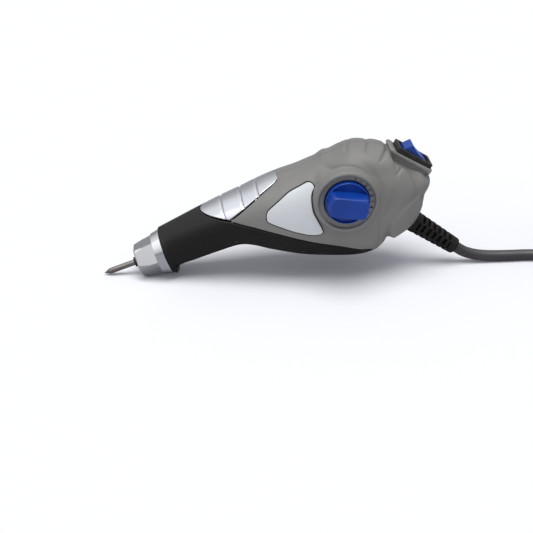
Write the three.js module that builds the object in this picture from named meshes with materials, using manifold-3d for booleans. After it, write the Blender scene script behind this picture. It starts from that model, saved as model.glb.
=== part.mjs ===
// Electric engraving pen: a hand-held vibrating engraver with a stroke dial, a rocker switch and a mains
// lead. Millimetres, +Z up. The nose points to -X and the stroke dial faces -Y.
import * as THREE from 'three';
import { mergeVertices } from 'three/addons/utils/BufferGeometryUtils.js';
import Module from 'manifold-3d';

const wasm = await Module();
wasm.setup();

// Fits that every piece shares.
const clearance = 0.3;
const overrun = 40;
const quarterTurn = Math.PI / 2;
const fullTurn = Math.PI * 2;

// Housing: overall form and walls.
const bodyLength = 144;
const bodyHeight = 71;
const bodyHalfWidth = 23.2;
const housingWall = 3.6;
const skinThickness = 1.4;
const alongSteps = 24;
const aroundSteps = 24;
const innerAlongSteps = 12;
const innerAroundSteps = 12;
const cavityEndShare = 0.9;

// Rungs of the housing: top and bottom as shares of length and height, half width as a share, and the
// power that squares the section off.
const rungShares = [
  { top: [-0.0034, 0.351], bottom: [0.054, 0.031], half: 0.522, power: 2.0 },
  { top: [0.025, 0.382], bottom: [0.075, 0.086], half: 0.483, power: 2.05 },
  { top: [0.076, 0.434], bottom: [0.141, 0.139], half: 0.534, power: 2.1 },
  { top: [0.151, 0.508], bottom: [0.215, 0.201], half: 0.612, power: 2.2 },
  { top: [0.233, 0.586], bottom: [0.293, 0.259], half: 0.707, power: 2.25 },
  { top: [0.304, 0.649], bottom: [0.344, 0.258], half: 0.784, power: 2.3 },
  { top: [0.383, 0.727], bottom: [0.413, 0.218], half: 0.871, power: 2.3 },
  { top: [0.487, 0.814], bottom: [0.519, 0.172], half: 0.957, power: 2.3 },
  { top: [0.607, 0.94], bottom: [0.606, 0.151], half: 1, power: 2.3 },
  { top: [0.704, 1.0], bottom: [0.719, 0.144], half: 1, power: 2.3 },
  { top: [0.791, 0.99], bottom: [0.787, 0.175], half: 0.957, power: 2.3 },
  { top: [0.865, 0.944], bottom: [0.851, 0.261], half: 0.879, power: 2.3 },
  { top: [0.924, 0.873], bottom: [0.903, 0.317], half: 0.776, power: 2.3 },
  { top: [0.969, 0.81], bottom: [0.944, 0.38], half: 0.647, power: 2.3 },
  { top: [0.995, 0.739], bottom: [0.969, 0.437], half: 0.474, power: 2.2 },
  { top: [0.997, 0.662], bottom: [0.983, 0.493], half: 0.26, power: 2.1 },
];

// Parting lines seen from the side, as shares of length and height.
const gripEdgeShares = [
  [-0.3, 0.513],
  [0.257, 0.513],
  [0.29, 0.5],
  [0.326, 0.483],
  [0.363, 0.465],
  [0.431, 0.428],
  [0.502, 0.387],
  [0.576, 0.346],
  [0.655, 0.308],
  [0.728, 0.262],
  [0.775, 0.244],
  [0.799, 0.15],
  [0.799, -0.3],
];
const inlayRearShares = [
  [0.257, 0.513],
  [0.319, 0.604],
  [0.378, 0.692],
  [0.433, 0.769],
  [0.48, 0.845],
  [0.52, 1.3],
];
const inlayGrooveShares = [0.24, 0.295, 0.365];
const inlayGrooveWidth = 1.1;
const inlayGrooveDepth = 0.7;
const inlayGrooveLean = 0.32;

// Badge: a bare, softly triangular plate in a shallow seat.
const badgeShares = [
  [0.387, 0.57],
  [0.391, 0.596],
  [0.402, 0.62],
  [0.438, 0.676],
  [0.47, 0.725],
  [0.505, 0.766],
  [0.534, 0.8],
  [0.549, 0.797],
  [0.555, 0.778],
  [0.548, 0.75],
  [0.544, 0.715],
  [0.545, 0.66],
  [0.551, 0.605],
  [0.566, 0.545],
  [0.584, 0.47],
  [0.583, 0.444],
  [0.566, 0.432],
  [0.538, 0.433],
  [0.505, 0.448],
  [0.47, 0.468],
  [0.435, 0.494],
  [0.408, 0.515],
  [0.39, 0.535],
];
const badgeThickness = 0.9;

// Nose axis: the striker's line leans down towards the tip, and passes this far below the dial's axis.
const shoeRise = 2.422;

// Vertices closer than this are one vertex.
const weldShare = 1e-4;

// Nose cone and its threaded spigot.
const coneLength = 16.3;
const coneRearRadius = 11.5;
const coneFrontRadius = 8.8;
const coneWall = 1.5;
const coneEdge = 0.9;
const coneFlats = 6;
const coneFlatLength = 11;
const coneFlatDepth = 0.75;
const spigotRadius = 8.4;
const spigotWall = 2;
const spigotLength = 6.5;
const spigotRoot = 9;
const spigotLap = 1;
const sealRadius = 2.7;
const sealFlangeRadius = 4.6;
const sealFlange = 1.4;
const sealReach = 2.2;

// Stylus, chuck and striker shaft.
const stylusRadius = 1.6;
const stylusReach = 19.8;
const stylusPoint = 3.4;
const chuckRadius = 4.1;
const chuckFront = 11.5;
const chuckLength = 10;
const stylusHold = 9;
const stylusEnd = stylusHold - chuckFront;
const shaftRadius = 2.2;
const chuckScrewRadius = 1.3;
const chuckScrewSpot = 7;

// Guides, return spring and armature.
const strokeRange = 1;
const frontBushLength = 9;
const frontBushStart = 0.5;
const rearBushAhead = 14.5;
const rearBushLength = 5;
const rearBushRadius = 5.5;
const bulkheadThickness = 3;
const springRadius = 3.9;
const springWire = 0.9;
const springLength = 11;
const springTurns = 5;
const springSteps = 8;
const springSides = 5;
const collarRadius = 4.6;
const collarWidth = 2;
const plateThickness = 3;
const plateHalfHeight = 10.5;
const plateHalfWidth = 6;
const nutRadius = 4;
const nutWidth = 2.4;

// Electromagnet: a U core with one bobbin on each leg.
const coreLength = 34.7;
const coreRoom = 1.483;
const coreYoke = 5.5;
const coreHalfHeight = 10.5;
const coreHalfWidth = 6;
const coreLeg = 4.5;
const bobbinInset = 3.4;
const bobbinWall = 0.7;
const bobbinFlange = 0.8;
const flangeReach = 2.7;
const windingDepth = 1.4;
const cradleLength = 11;
const cradleInset = 4.5;

// Stroke dial: knob, spindle with its rising cam, and the shoe that the cam pushes.
const knobCentreShares = [0.667, 0.701];
const knobRadius = 11.3;
const knobSeat = 21.1;
const knobHeight = 5.2;
const knobRim = 1;
const knobDish = 1.3;
const knobBarWidth = 10.6;
const knobBarTopWidth = 8.8;
const knobBarHeight = 8.8;
const knobBarLean = THREE.MathUtils.degToRad(-7);
const knobTurn = THREE.MathUtils.degToRad(270);
const dialRadius = 15;
const dialFoot = 17;
const dialFace = 24;
const dialRoot = 13;
const dialRecess = 12;
const dialStep = 1;
const dialStepRadius = 13.2;
const spindleRadius = 2;
const spindleTail = 4;
const camBase = 2.3;
const camRise = 1;
const camWidth = 6;
const clipRadius = 3.2;
const clipWidth = 0.8;
const clipSpot = 4.6;
const shoeRadius = 2.4;
const shoeLength = 6.1;
const guideLength = 2.4;

// Rocker switch on the sloping rear shoulder.
const switchCentreShares = [0.9285, 0.9127];
const switchTilt = THREE.MathUtils.degToRad(30.4);
const bezelLength = 21;
const bezelWidth = 15.2;
const bezelHeight = 1.8;
const bezelCorner = 1.6;
const switchBodyLength = 18.4;
const switchBodyWidth = 12.6;
const switchBodyDepth = 13;
const wellLength = 16.8;
const wellWidth = 10.4;
const wellDepth = 9;
const rockerHalfLength = 7.2;
const rockerWidth = 9.6;
const rockerPivotDepth = 2.5;
const rockerTilt = THREE.MathUtils.degToRad(12);
const rockerEnd = 2.2;
const rockerDip = 1.1;
const rockerSkirt = 1.6;
const rockerKeel = 4.6;
const pivotRadius = 1.1;
const collarLip = 1.7;
const collarDrop = 2.2;
const collarFoot = 17;
const terminalLengthShare = 0.0775;
const terminalWidth = 4.8;
const terminalThickness = 0.8;
const terminalPitch = 8;

// Lead exit: strain relief, inner lead and clamp.
const exitShares = [0.949, 0.363];
const exitTilt = THREE.MathUtils.degToRad(34);
const reliefLength = 28;
const reliefRadius = 5.7;
const reliefTipRadius = 4.2;
const reliefRibs = 6;
const reliefGroove = 1.3;
const reliefGrooveShare = 0.42;
const reliefNeck = 4.9;
const reliefFlange = 7;
const reliefFlangeWidth = 2;
const reliefInset = 5.2;
const leadRadius = 3;
const innerLeadLength = 15;
const clampWidth = 6;
const clampLength = 17;
const clampThickness = 2.2;
const clampScrewSpacing = 6;
const clampSpotShare = 0.1127;
const clampSpot = bodyHeight * clampSpotShare;
const clampScrewRadius = 1.2;
const clampHeadRadius = 2.2;
const clampHead = 1.4;
const clampScrewLength = 7;

// Housing screws: places as shares of length and height, and the head's seat from the middle plane.
const screwRadius = 1.4;
const screwHeadRadius = 2.7;
const screwHead = 2;
const bossWall = 1.7;
const slotWidth = 0.7;
const slotDepth = 0.9;
const screwTable = [
  { name: 'housing_screw_1', place: [0.188, 0.432], seat: 4.5 },
  { name: 'housing_screw_2', place: [0.431, 0.317], seat: 10 },
  { name: 'housing_screw_3', place: [0.806, 0.287], seat: 10 },
  { name: 'housing_screw_4', place: [0.75, 0.87], seat: 10 },
  { name: 'housing_screw_5', place: [0.946, 0.572], seat: 9 },
];

// Mains lead: the loose run and the wound length on the surface, and the end with the plug over the turns.
const cordRoute = [
  [94.2, 5.9, 9.9],
  [99.6, 5.9, 6.5],
  [107, 5.9, 4.2],
  [116, 5.9, 3.3],
  [126, 5.9, 3.1],
  [136, 5.9, 3.05],
  [147.3, 4.1, 3.05],
  [156.3, -1.1, 3.05],
  [160.6, -5.6, 3.05],
  [162.95, -9.15, 3.05],
];
const coilCentre = [201.6, 5.9];
const coilStart = THREE.MathUtils.degToRad(210);
const coilStub = 6;
const coilRadius = 41;
const coilPitch = 6.5;
const coilLift = 6.7;
const coilLayers = 4;
const coilLayerTurns = 2;
const coilTurns = 7.75;
const coilEnd = coilStart + fullTurn * coilTurns;
const coilClimbShare = 0.25;
const coilSteps = 24;
const coilSides = 6;
const cordSides = 8;
const tailBend = 26;
const tailBendSteps = 9;
const tailRun = 4;
const tailRiseShare = 0.6;
const plugLength = 36;
const plugWidth = 25;
const plugThickness = 13.7;
const plugNeck = 10;
const plugShoulderShare = 0.55;
const plugEdge = 1.4;
const pinLength = 19;
const pinRadius = 2;
const pinPitch = 18.6;

// Colours.
const greyPlastic = new THREE.MeshStandardMaterial({ color: 0x6f7173, roughness: 0.55, metalness: 0 });
const blackRubber = new THREE.MeshStandardMaterial({ color: 0x1b1b1c, roughness: 0.6, metalness: 0 });
const silverPaint = new THREE.MeshStandardMaterial({ color: 0xc9ccd0, roughness: 0.3, metalness: 0.6 });
const brightMetal = new THREE.MeshStandardMaterial({ color: 0xd4d6da, roughness: 0.22, metalness: 1 });
const palePlate = new THREE.MeshStandardMaterial({ color: 0xe6e8ec, roughness: 0.35, metalness: 0.1 });
const bluePlastic = new THREE.MeshStandardMaterial({ color: 0x1746b8, roughness: 0.35, metalness: 0 });
const blackPlastic = new THREE.MeshStandardMaterial({ color: 0x141415, roughness: 0.4, metalness: 0 });
const steel = new THREE.MeshStandardMaterial({ color: 0x9a9ca0, roughness: 0.35, metalness: 1 });
const bronze = new THREE.MeshStandardMaterial({ color: 0xa9793f, roughness: 0.4, metalness: 1 });
const copper = new THREE.MeshStandardMaterial({ color: 0xb5642f, roughness: 0.4, metalness: 0.9 });
const nylon = new THREE.MeshStandardMaterial({ color: 0xd9d4c6, roughness: 0.5, metalness: 0 });
const blackVinyl = new THREE.MeshStandardMaterial({ color: 0x161617, roughness: 0.45, metalness: 0 });

// A geometry as a solid, in the frame of the given matrix.
function solidOf(geometry, matrix) {
  const bare = geometry.index ? geometry.toNonIndexed() : geometry.clone();
  bare.deleteAttribute('normal');
  bare.deleteAttribute('uv');
  if (matrix) bare.applyMatrix4(matrix);
  const merged = mergeVertices(bare, weldShare);
  return new wasm.Manifold(
    new wasm.Mesh({
      numProp: 3,
      vertProperties: new Float32Array(merged.attributes.position.array),
      triVerts: new Uint32Array(merged.index.array),
    }),
  );
}

// A solid as a geometry.
function geometryOf(solid) {
  const found = solid.getMesh();
  const geometry = new THREE.BufferGeometry();
  geometry.setAttribute('position', new THREE.BufferAttribute(new Float32Array(found.vertProperties), 3));
  geometry.setIndex(new THREE.BufferAttribute(new Uint32Array(found.triVerts), 1));
  geometry.computeVertexNormals();
  return geometry;
}

function piece(name, geometry, material) {
  const mesh = new THREE.Mesh(geometry, material);
  mesh.name = name;
  return mesh;
}

function solidPiece(name, solid, material) {
  return piece(name, geometryOf(solid), material);
}

function joined(solids) {
  return solids.reduce((sum, next) => sum.add(next));
}

// A revolved form about the local X axis from [x, radius] points that start and end on the axis.
function turned(points, sides) {
  const profile = points.map(([x, radius]) => new THREE.Vector2(radius, x));
  const ordered = THREE.ShapeUtils.area(profile) > 0 ? profile : profile.reverse();
  return new THREE.LatheGeometry(ordered, sides).rotateZ(-quarterTurn);
}

// A plain rod along local X.
function rod(start, end, radius, sides = 24) {
  return turned([[start, 0], [start, radius], [end, radius], [end, 0]], sides);
}

// A ring along local X: the section is listed so that it closes on itself.
function ring(start, end, inner, outer, sides = 24) {
  return turned([[start, inner], [start, outer], [end, outer], [end, inner], [start, inner]], sides);
}

function block(x0, x1, y0, y1, z0, z1) {
  const box = new THREE.BoxGeometry(x1 - x0, y1 - y0, z1 - z0);
  return box.translate((x0 + x1) / 2, (y0 + y1) / 2, (z0 + z1) / 2);
}

// A side-view outline in x and z, pushed out along Y from y0 to y1.
function sideSlab(points, y0, y1) {
  const outline = new THREE.Shape(points.map(([x, z]) => new THREE.Vector2(x, z)));
  const slab = new THREE.ExtrudeGeometry(outline, { depth: y1 - y0, bevelEnabled: false });
  return slab.rotateX(quarterTurn).translate(0, y1, 0);
}

// A closed outline with rounded corners, centred on the origin.
function roundedRectangle(length, width, corner) {
  const x = length / 2;
  const y = width / 2;
  const outline = new THREE.Shape();
  outline.moveTo(corner - x, -y);
  outline.lineTo(x - corner, -y);
  outline.absarc(x - corner, corner - y, corner, -quarterTurn, 0, false);
  outline.lineTo(x, y - corner);
  outline.absarc(x - corner, y - corner, corner, 0, quarterTurn, false);
  outline.lineTo(corner - x, y);
  outline.absarc(corner - x, y - corner, corner, quarterTurn, Math.PI, false);
  outline.lineTo(-x, corner - y);
  outline.absarc(corner - x, corner - y, corner, Math.PI, Math.PI + quarterTurn, false);
  return outline;
}

function raised(outline, from, to) {
  const depth = to - from;
  const grown = new THREE.ExtrudeGeometry(outline, { depth, bevelEnabled: false, curveSegments: 3 });
  return grown.translate(0, 0, from);
}

const sidePoint = ([lengthShare, heightShare]) => [lengthShare * bodyLength, heightShare * bodyHeight];

// Curves through the rungs, read at one share u from the nose to the rear.
const topCurve = new THREE.CatmullRomCurve3(
  rungShares.map(({ top }) => new THREE.Vector3(sidePoint(top)[0], 0, sidePoint(top)[1])),
  false,
  'catmullrom',
);
const bottomCurve = new THREE.CatmullRomCurve3(
  rungShares.map(({ bottom }) => new THREE.Vector3(sidePoint(bottom)[0], 0, sidePoint(bottom)[1])),
  false,
  'catmullrom',
);
const girthCurve = new THREE.CatmullRomCurve3(
  rungShares.map(({ half, power }) => new THREE.Vector3(half * bodyHalfWidth, power, 0)),
  false,
  'catmullrom',
);

const signedPower = (value, power) => Math.sign(value) * Math.abs(value) ** power;

// The housing's form, drawn in by an inset, up to a share of its length. A form that is drawn in also runs on
// past the nose, so that it cuts the nose open.
function housingForm(inset, along, around, to = 1) {
  const vertices = [];
  const faces = [];
  const lead = inset > 0 ? 1 : 0;
  const rings = along + lead;
  for (let i = 0; i <= rings; i += 1) {
    const u = (to * Math.max(i - lead, 0)) / along;
    const ahead = lead === 1 && i === 0 ? coneLength : 0;
    const top = topCurve.getPoint(u);
    const bottom = bottomCurve.getPoint(u);
    const girth = girthCurve.getPoint(u);
    const middle = top.clone().add(bottom).multiplyScalar(0.5);
    const reach = top.clone().sub(bottom).multiplyScalar(0.5);
    const half = reach.length();
    reach.multiplyScalar((half - inset) / half);
    const exponent = 2 / girth.y;
    for (let j = 0; j < around; j += 1) {
      const angle = (fullTurn * j) / around;
      const rise = signedPower(Math.cos(angle), exponent);
      const side = signedPower(Math.sin(angle), exponent) * (girth.x - inset);
      vertices.push(
        middle.x + reach.x * rise - ahead * Math.cos(noseTilt),
        -side,
        middle.z + reach.z * rise - ahead * Math.sin(noseTilt),
      );
    }
  }
  for (let i = 0; i < rings; i += 1) {
    for (let j = 0; j < around; j += 1) {
      const next = (j + 1) % around;
      const a = i * around + j;
      const b = i * around + next;
      const c = a + around;
      const d = b + around;
      faces.push(a, b, c, b, d, c);
    }
  }
  const last = rings * around;
  for (let j = 1; j < around - 1; j += 1) {
    faces.push(0, j + 1, j);
    faces.push(last, last + j, last + j + 1);
  }
  const geometry = new THREE.BufferGeometry();
  geometry.setAttribute('position', new THREE.Float32BufferAttribute(vertices, 3));
  geometry.setIndex(faces);
  return solidOf(geometry);
}

// Frames that carry groups of pieces, as matrices and as groups.
const noseRung = {
  x: (sidePoint(rungShares[0].top)[0] + sidePoint(rungShares[0].bottom)[0]) / 2,
  z: (sidePoint(rungShares[0].top)[1] + sidePoint(rungShares[0].bottom)[1]) / 2,
};
const [knobX, knobZ] = sidePoint(knobCentreShares);
const [switchX, switchZ] = sidePoint(switchCentreShares);
const [exitX, exitZ] = sidePoint(exitShares);

// The nose axis leans so that it passes below the dial's axis by the shoe's rise.
const dialReach = Math.hypot(knobX - noseRung.x, knobZ - noseRung.z);
const noseTilt = Math.atan2(knobZ - noseRung.z, knobX - noseRung.x) - Math.asin(shoeRise / dialReach);

function frameAt(x, y, z, rotateX, rotateY) {
  const group = new THREE.Group();
  group.position.set(x, y, z);
  group.rotation.set(rotateX, rotateY, 0, 'YXZ');
  group.updateMatrix();
  return group;
}

const noseFrame = frameAt(noseRung.x, 0, noseRung.z, 0, -noseTilt);
const knobFrame = frameAt(knobX, 0, knobZ, quarterTurn, 0);
const switchFrame = frameAt(switchX, 0, switchZ, 0, switchTilt);
const exitFrame = frameAt(exitX, 0, exitZ, 0, exitTilt);

// The knob's centre as seen from the nose frame, which places the cam, the shoe and the guide.
const knobInNose = new THREE.Vector3(knobX, 0, knobZ).applyMatrix4(noseFrame.matrix.clone().invert());
const shoeEnd = knobInNose.x - camBase - clearance;
const camFacing = Math.PI + noseTilt;

// The drive train is placed forward from the dial: yoke, legs, bobbins, armature plate and rear bush.
const coreEnd = knobInNose.x + camBase + camRise + coreRoom + coreYoke;
const coreStart = coreEnd - coreLength;
const bobbinStart = coreStart + bobbinInset;
const bobbinEnd = shoeEnd - shoeLength - strokeRange - clearance;
const cradleEnd = coreEnd - cradleInset;
const plateStart = coreStart - clearance - strokeRange - plateThickness;
const rearBushStart = plateStart - rearBushAhead;
const shaftEnd = shoeEnd - shoeLength - strokeRange * 2 - clearance;

// The side-view region below the grip's parting line, grown by a margin.
function gripZone(margin) {
  const edge = gripEdgeShares.map(sidePoint);
  const grown = offsetLine(edge, margin);
  const first = grown[0];
  const outline = [...grown, [first[0], -overrun]];
  return sideSlab(outline, -overrun, overrun);
}

// The side-view region of the top inlay, in front of its rear edge and above the grip.
function inlayZone(margin) {
  const rear = offsetLine(inlayRearShares.map(sidePoint), -margin);
  const low = rear[0][1];
  const corner = [-overrun, low];
  const far = [-overrun, rear[rear.length - 1][1]];
  return sideSlab([corner, ...rear, far], -overrun, overrun);
}

// A line of points moved sideways by a distance, to its left for a positive one.
function offsetLine(points, distance) {
  return points.map((point, i) => {
    const before = points[Math.max(i - 1, 0)];
    const after = points[Math.min(i + 1, points.length - 1)];
    const dx = after[0] - before[0];
    const dz = after[1] - before[1];
    const run = Math.hypot(dx, dz);
    return [point[0] - (dz / run) * distance, point[1] + (dx / run) * distance];
  });
}

const outerForm = housingForm(0, alongSteps, aroundSteps);
const skinSeat = housingForm(skinThickness, alongSteps, aroundSteps);
const underSkin = housingForm(skinThickness + clearance, alongSteps, aroundSteps);
const cavityForm = housingForm(housingWall, innerAlongSteps, innerAroundSteps, cavityEndShare);

// Counterbores and shank holes for the housing screws.
function screwCuts() {
  const cuts = [];
  for (const { place, seat } of screwTable) {
    const [x, z] = sidePoint(place);
    const at = new THREE.Matrix4().makeRotationZ(quarterTurn).setPosition(x, 0, z);
    cuts.push(solidOf(rod(seat, overrun, screwHeadRadius + clearance, 12), at));
    cuts.push(solidOf(rod(-seat - screwHead, seat + overrun / 2, screwRadius + clearance, 8), at));
  }
  return joined(cuts);
}

// Inner bosses, bulkhead, magnet cradle and spigot root, before they are trimmed to the housing's form.
function innerWorks() {
  const works = [];
  for (const { place } of screwTable) {
    const [x, z] = sidePoint(place);
    const at = new THREE.Matrix4().makeRotationZ(quarterTurn).setPosition(x, 0, z);
    works.push(solidOf(rod(-overrun, overrun, screwRadius + clearance + bossWall, 10), at));
  }
  const nose = noseFrame.matrix;
  const bulkEnd = rearBushStart + bulkheadThickness;
  works.push(solidOf(block(rearBushStart, bulkEnd, -overrun, overrun, -overrun, overrun), nose));
  const side = coreHalfWidth + clearance;
  for (const [y0, y1] of [[side, overrun], [-overrun, -side]]) {
    const cheek = block(cradleEnd - cradleLength, cradleEnd, y0, y1, -coreHalfHeight, coreHalfHeight);
    works.push(solidOf(cheek, nose));
  }
  works.push(solidOf(rod(-overrun, spigotRoot, overrun), nose));
  for (const edge of [-1, 1]) {
    const x = -reliefInset - clampSpot;
    const [y0, y1] = [edge * (leadRadius + clearance), edge * (clampLength / 2)].sort((a, b) => a - b);
    const post = block(x - clampWidth / 2, x + clampWidth / 2, y0, y1, -overrun, leadRadius);
    works.push(solidOf(post, exitFrame.matrix));
  }
  return joined(works);
}

// Threaded holes for the lead clamp's screws.
function clampCuts() {
  const x = -reliefInset - clampSpot;
  const holes = [-1, 1].map((side) =>
    rod(-clampScrewLength, overrun / 4, clampScrewRadius + clearance, 14)
      .rotateY(-quarterTurn)
      .translate(x, side * clampScrewSpacing, 0),
  );
  return joined(holes.map((hole) => solidOf(hole, exitFrame.matrix)));
}

// The raised dial seat on the dial side.
function dialSeat() {
  const seat = turned(
    [
      [dialRoot, 0],
      [dialRoot, dialFoot],
      [dialFace - dialStep, dialRadius],
      [dialFace, dialRadius - dialStep / 2],
      [dialFace, 0],
    ],
    36,
  );
  return solidOf(seat.rotateY(-quarterTurn), knobFrame.matrix);
}

function dialCuts() {
  const bore = rod(-overrun, overrun, spindleRadius + clearance, 14).rotateY(-quarterTurn);
  const recess = rod(knobSeat - clearance, overrun, dialRecess, 36).rotateY(-quarterTurn);
  const step = rod(dialFace - dialStep, overrun, dialStepRadius, 36).rotateY(-quarterTurn);
  const nearSide = solidOf(block(0, bodyLength, -overrun, 0, 0, bodyHeight));
  const cuts = [recess, step].map((cut) => solidOf(cut, knobFrame.matrix));
  return joined([...cuts, solidOf(bore, knobFrame.matrix).intersect(nearSide)]);
}

// The raised collar under the rocker switch, with its shadow step.
function switchCollar() {
  const length = bezelLength + collarLip;
  const width = bezelWidth + collarLip;
  const top = -bezelHeight - clearance;
  const lip = raised(roundedRectangle(length, width, bezelCorner + collarLip / 2), top - collarDrop, top);
  const foot = raised(roundedRectangle(length - collarLip, width - collarLip, bezelCorner), -collarFoot, top);
  return solidOf(lip, switchFrame.matrix).add(solidOf(foot, switchFrame.matrix));
}

function switchCut() {
  const well = raised(
    roundedRectangle(switchBodyLength + clearance * 2, switchBodyWidth + clearance * 2, bezelCorner / 2),
    -overrun,
    overrun,
  );
  const bezelSeat = raised(
    roundedRectangle(bezelLength + clearance * 2, bezelWidth + clearance * 2, bezelCorner),
    -bezelHeight - clearance,
    overrun,
  );
  return solidOf(well, switchFrame.matrix).add(solidOf(bezelSeat, switchFrame.matrix));
}

function exitCut() {
  const neck = rod(-overrun / 2, overrun, reliefNeck + clearance, 24);
  const pocketEnd = reliefFlangeWidth + clearance - reliefInset;
  const pocket = rod(-overrun / 2, pocketEnd, reliefFlange + clearance, 24);
  return solidOf(neck, exitFrame.matrix).add(solidOf(pocket, exitFrame.matrix));
}

// The badge's outline, grown by a margin, as a slab on the dial side only.
function badgeSlab(margin) {
  const outline = badgeShares.map(sidePoint);
  const closed = [...outline, outline[0], outline[1]];
  const grown = offsetLine(closed, margin).slice(1, -1);
  return solidOf(sideSlab(grown.slice().reverse(), -overrun, 0));
}

function halfSpace(y0, y1) {
  return solidOf(block(-overrun, bodyLength + overrun, y0, y1, -overrun, bodyHeight + overrun));
}

const sides = {
  left: halfSpace(-overrun, -clearance / 2),
  right: halfSpace(clearance / 2, overrun),
};

// The grey housing before it is parted: hollow, with its inner works, spigot, dial seat and switch collar.
function housingSolid() {
  const nose = noseFrame.matrix;
  const zones = solidOf(gripZone(clearance)).add(solidOf(inlayZone(clearance)));
  const trimmed = outerForm.subtract(zones.subtract(underSkin));
  const spigot = solidOf(rod(-spigotLength, spigotLap, spigotRadius, 32), nose);
  const bulk = joined([trimmed, spigot, switchCollar(), dialSeat()]);
  const hollow = cavityForm.subtract(innerWorks());
  const bore = rod(-overrun, frontBushStart + frontBushLength + clearance, spigotRadius - spigotWall, 32);
  const shaftWay = rod(-overrun, rearBushStart + overrun / 2, shaftRadius + clearance, 20);
  const bushReach = rearBushRadius + clearance;
  const bushWay = rod(rearBushStart - rearBushLength, rearBushStart + rearBushLength, bushReach);
  const sideReach = coreHalfWidth + flangeReach + clearance;
  const upReach = coreHalfHeight + flangeReach + clearance;
  const windingWay = block(bobbinStart - clearance, bobbinEnd, -sideReach, sideReach, -upReach, upReach);
  const badgeFloor = housingForm(badgeThickness + clearance, alongSteps, aroundSteps);
  const badgeSeat = badgeSlab(clearance).subtract(badgeFloor);
  const ways = [bore, shaftWay, bushWay, windingWay].map((cut) => solidOf(cut, nose));
  const openings = [dialCuts(), switchCut(), exitCut(), screwCuts(), clampCuts(), badgeSeat];
  return bulk.subtract(joined([hollow, ...ways, ...openings]));
}

// One half of a solid, kept to its largest connected body.
function half(solid, side) {
  const parts = solid.intersect(sides[side]).decompose();
  return parts.sort((a, b) => b.volume() - a.volume())[0];
}

function makeHousing() {
  const whole = housingSolid();
  return [
    solidPiece('housing_left', half(whole, 'left'), greyPlastic),
    solidPiece('housing_right', half(whole, 'right'), greyPlastic),
  ];
}

// The soft black skin over the front and the belly, in two halves.
function makeGrip() {
  const skin = outerForm.subtract(skinSeat).intersect(solidOf(gripZone(0))).subtract(screwCuts());
  return [
    solidPiece('grip_left', half(skin, 'left'), blackRubber),
    solidPiece('grip_right', half(skin, 'right'), blackRubber),
  ];
}

// The silver inlay on top of the grip, one saddle with three cross grooves.
function makeInlay() {
  let saddle = outerForm.subtract(skinSeat).intersect(solidOf(inlayZone(0)));
  const gripCut = solidOf(gripZone(clearance));
  saddle = saddle.subtract(gripCut);
  const grooveFloor = housingForm(inlayGrooveDepth, alongSteps, aroundSteps);
  for (const share of inlayGrooveShares) {
    const x = share * bodyLength;
    const top = x - (bodyHeight * inlayGrooveLean) / 2;
    const low = x + (bodyHeight * inlayGrooveLean) / 2;
    const outline = [
      [top + inlayGrooveWidth, bodyHeight],
      [low + inlayGrooveWidth, 0],
      [low, 0],
      [top, bodyHeight],
    ];
    const band = sideSlab(outline, -overrun, overrun);
    saddle = saddle.subtract(solidOf(band).subtract(grooveFloor));
  }
  const parts = saddle.subtract(screwCuts()).decompose();
  return [solidPiece('top_inlay', parts.sort((a, b) => b.volume() - a.volume())[0], silverPaint)];
}

function makeBadge() {
  const floor = housingForm(badgeThickness, alongSteps, aroundSteps);
  const plate = badgeSlab(0).intersect(outerForm).subtract(floor);
  return [solidPiece('badge_plate', plate, palePlate)];
}

// The nose cone: a hollow cone with flats cut along its front and a hole for the seal.
function makeNoseCone() {
  const back = -clearance;
  const front = -coneLength;
  const innerRear = spigotRadius + clearance;
  const innerDeep = -spigotLength - clearance;
  const innerFront = coneFrontRadius - coneWall * 2;
  let cone = solidOf(
    turned(
      [
        [back, innerRear],
        [back, coneRearRadius],
        [front + coneEdge, coneFrontRadius],
        [front, coneFrontRadius - coneEdge],
        [front, sealRadius + clearance],
        [front + coneWall, sealRadius + clearance],
        [front + coneWall, innerFront],
        [innerDeep, innerRear],
        [back, innerRear],
      ],
      24,
    ),
  );
  const flatReach = coneFrontRadius - coneFlatDepth;
  const lean = Math.atan2(coneRearRadius - coneFrontRadius, coneLength);
  for (let i = 0; i < coneFlats; i += 1) {
    const flat = block(-overrun, front + coneFlatLength, -overrun, overrun, flatReach, flatReach + overrun);
    flat.rotateY(lean / 2);
    flat.rotateX((fullTurn * i) / coneFlats);
    cone = cone.subtract(solidOf(flat));
  }
  return solidPiece('nose_cone', cone, silverPaint);
}

// The black seal bush in the front of the cone, round the stylus.
function makeSeal() {
  const front = -coneLength - sealReach;
  const seat = -coneLength + coneWall + clearance;
  const inner = stylusRadius + clearance;
  const bush = turned(
    [
      [front, inner],
      [front, sealRadius],
      [seat, sealRadius],
      [seat, sealFlangeRadius],
      [seat + sealFlange, sealFlangeRadius],
      [seat + sealFlange, inner],
      [front, inner],
    ],
    20,
  );
  return piece('nose_seal', bush, blackRubber);
}

function makeStylus() {
  const tip = -coneLength - stylusReach;
  const shoulder = tip + stylusPoint;
  const point = stylusRadius / 8;
  const body = turned(
    [[tip, 0], [tip, point], [shoulder, stylusRadius], [stylusEnd, stylusRadius], [stylusEnd, 0]],
    20,
  );
  return piece('stylus', body, brightMetal);
}

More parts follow.
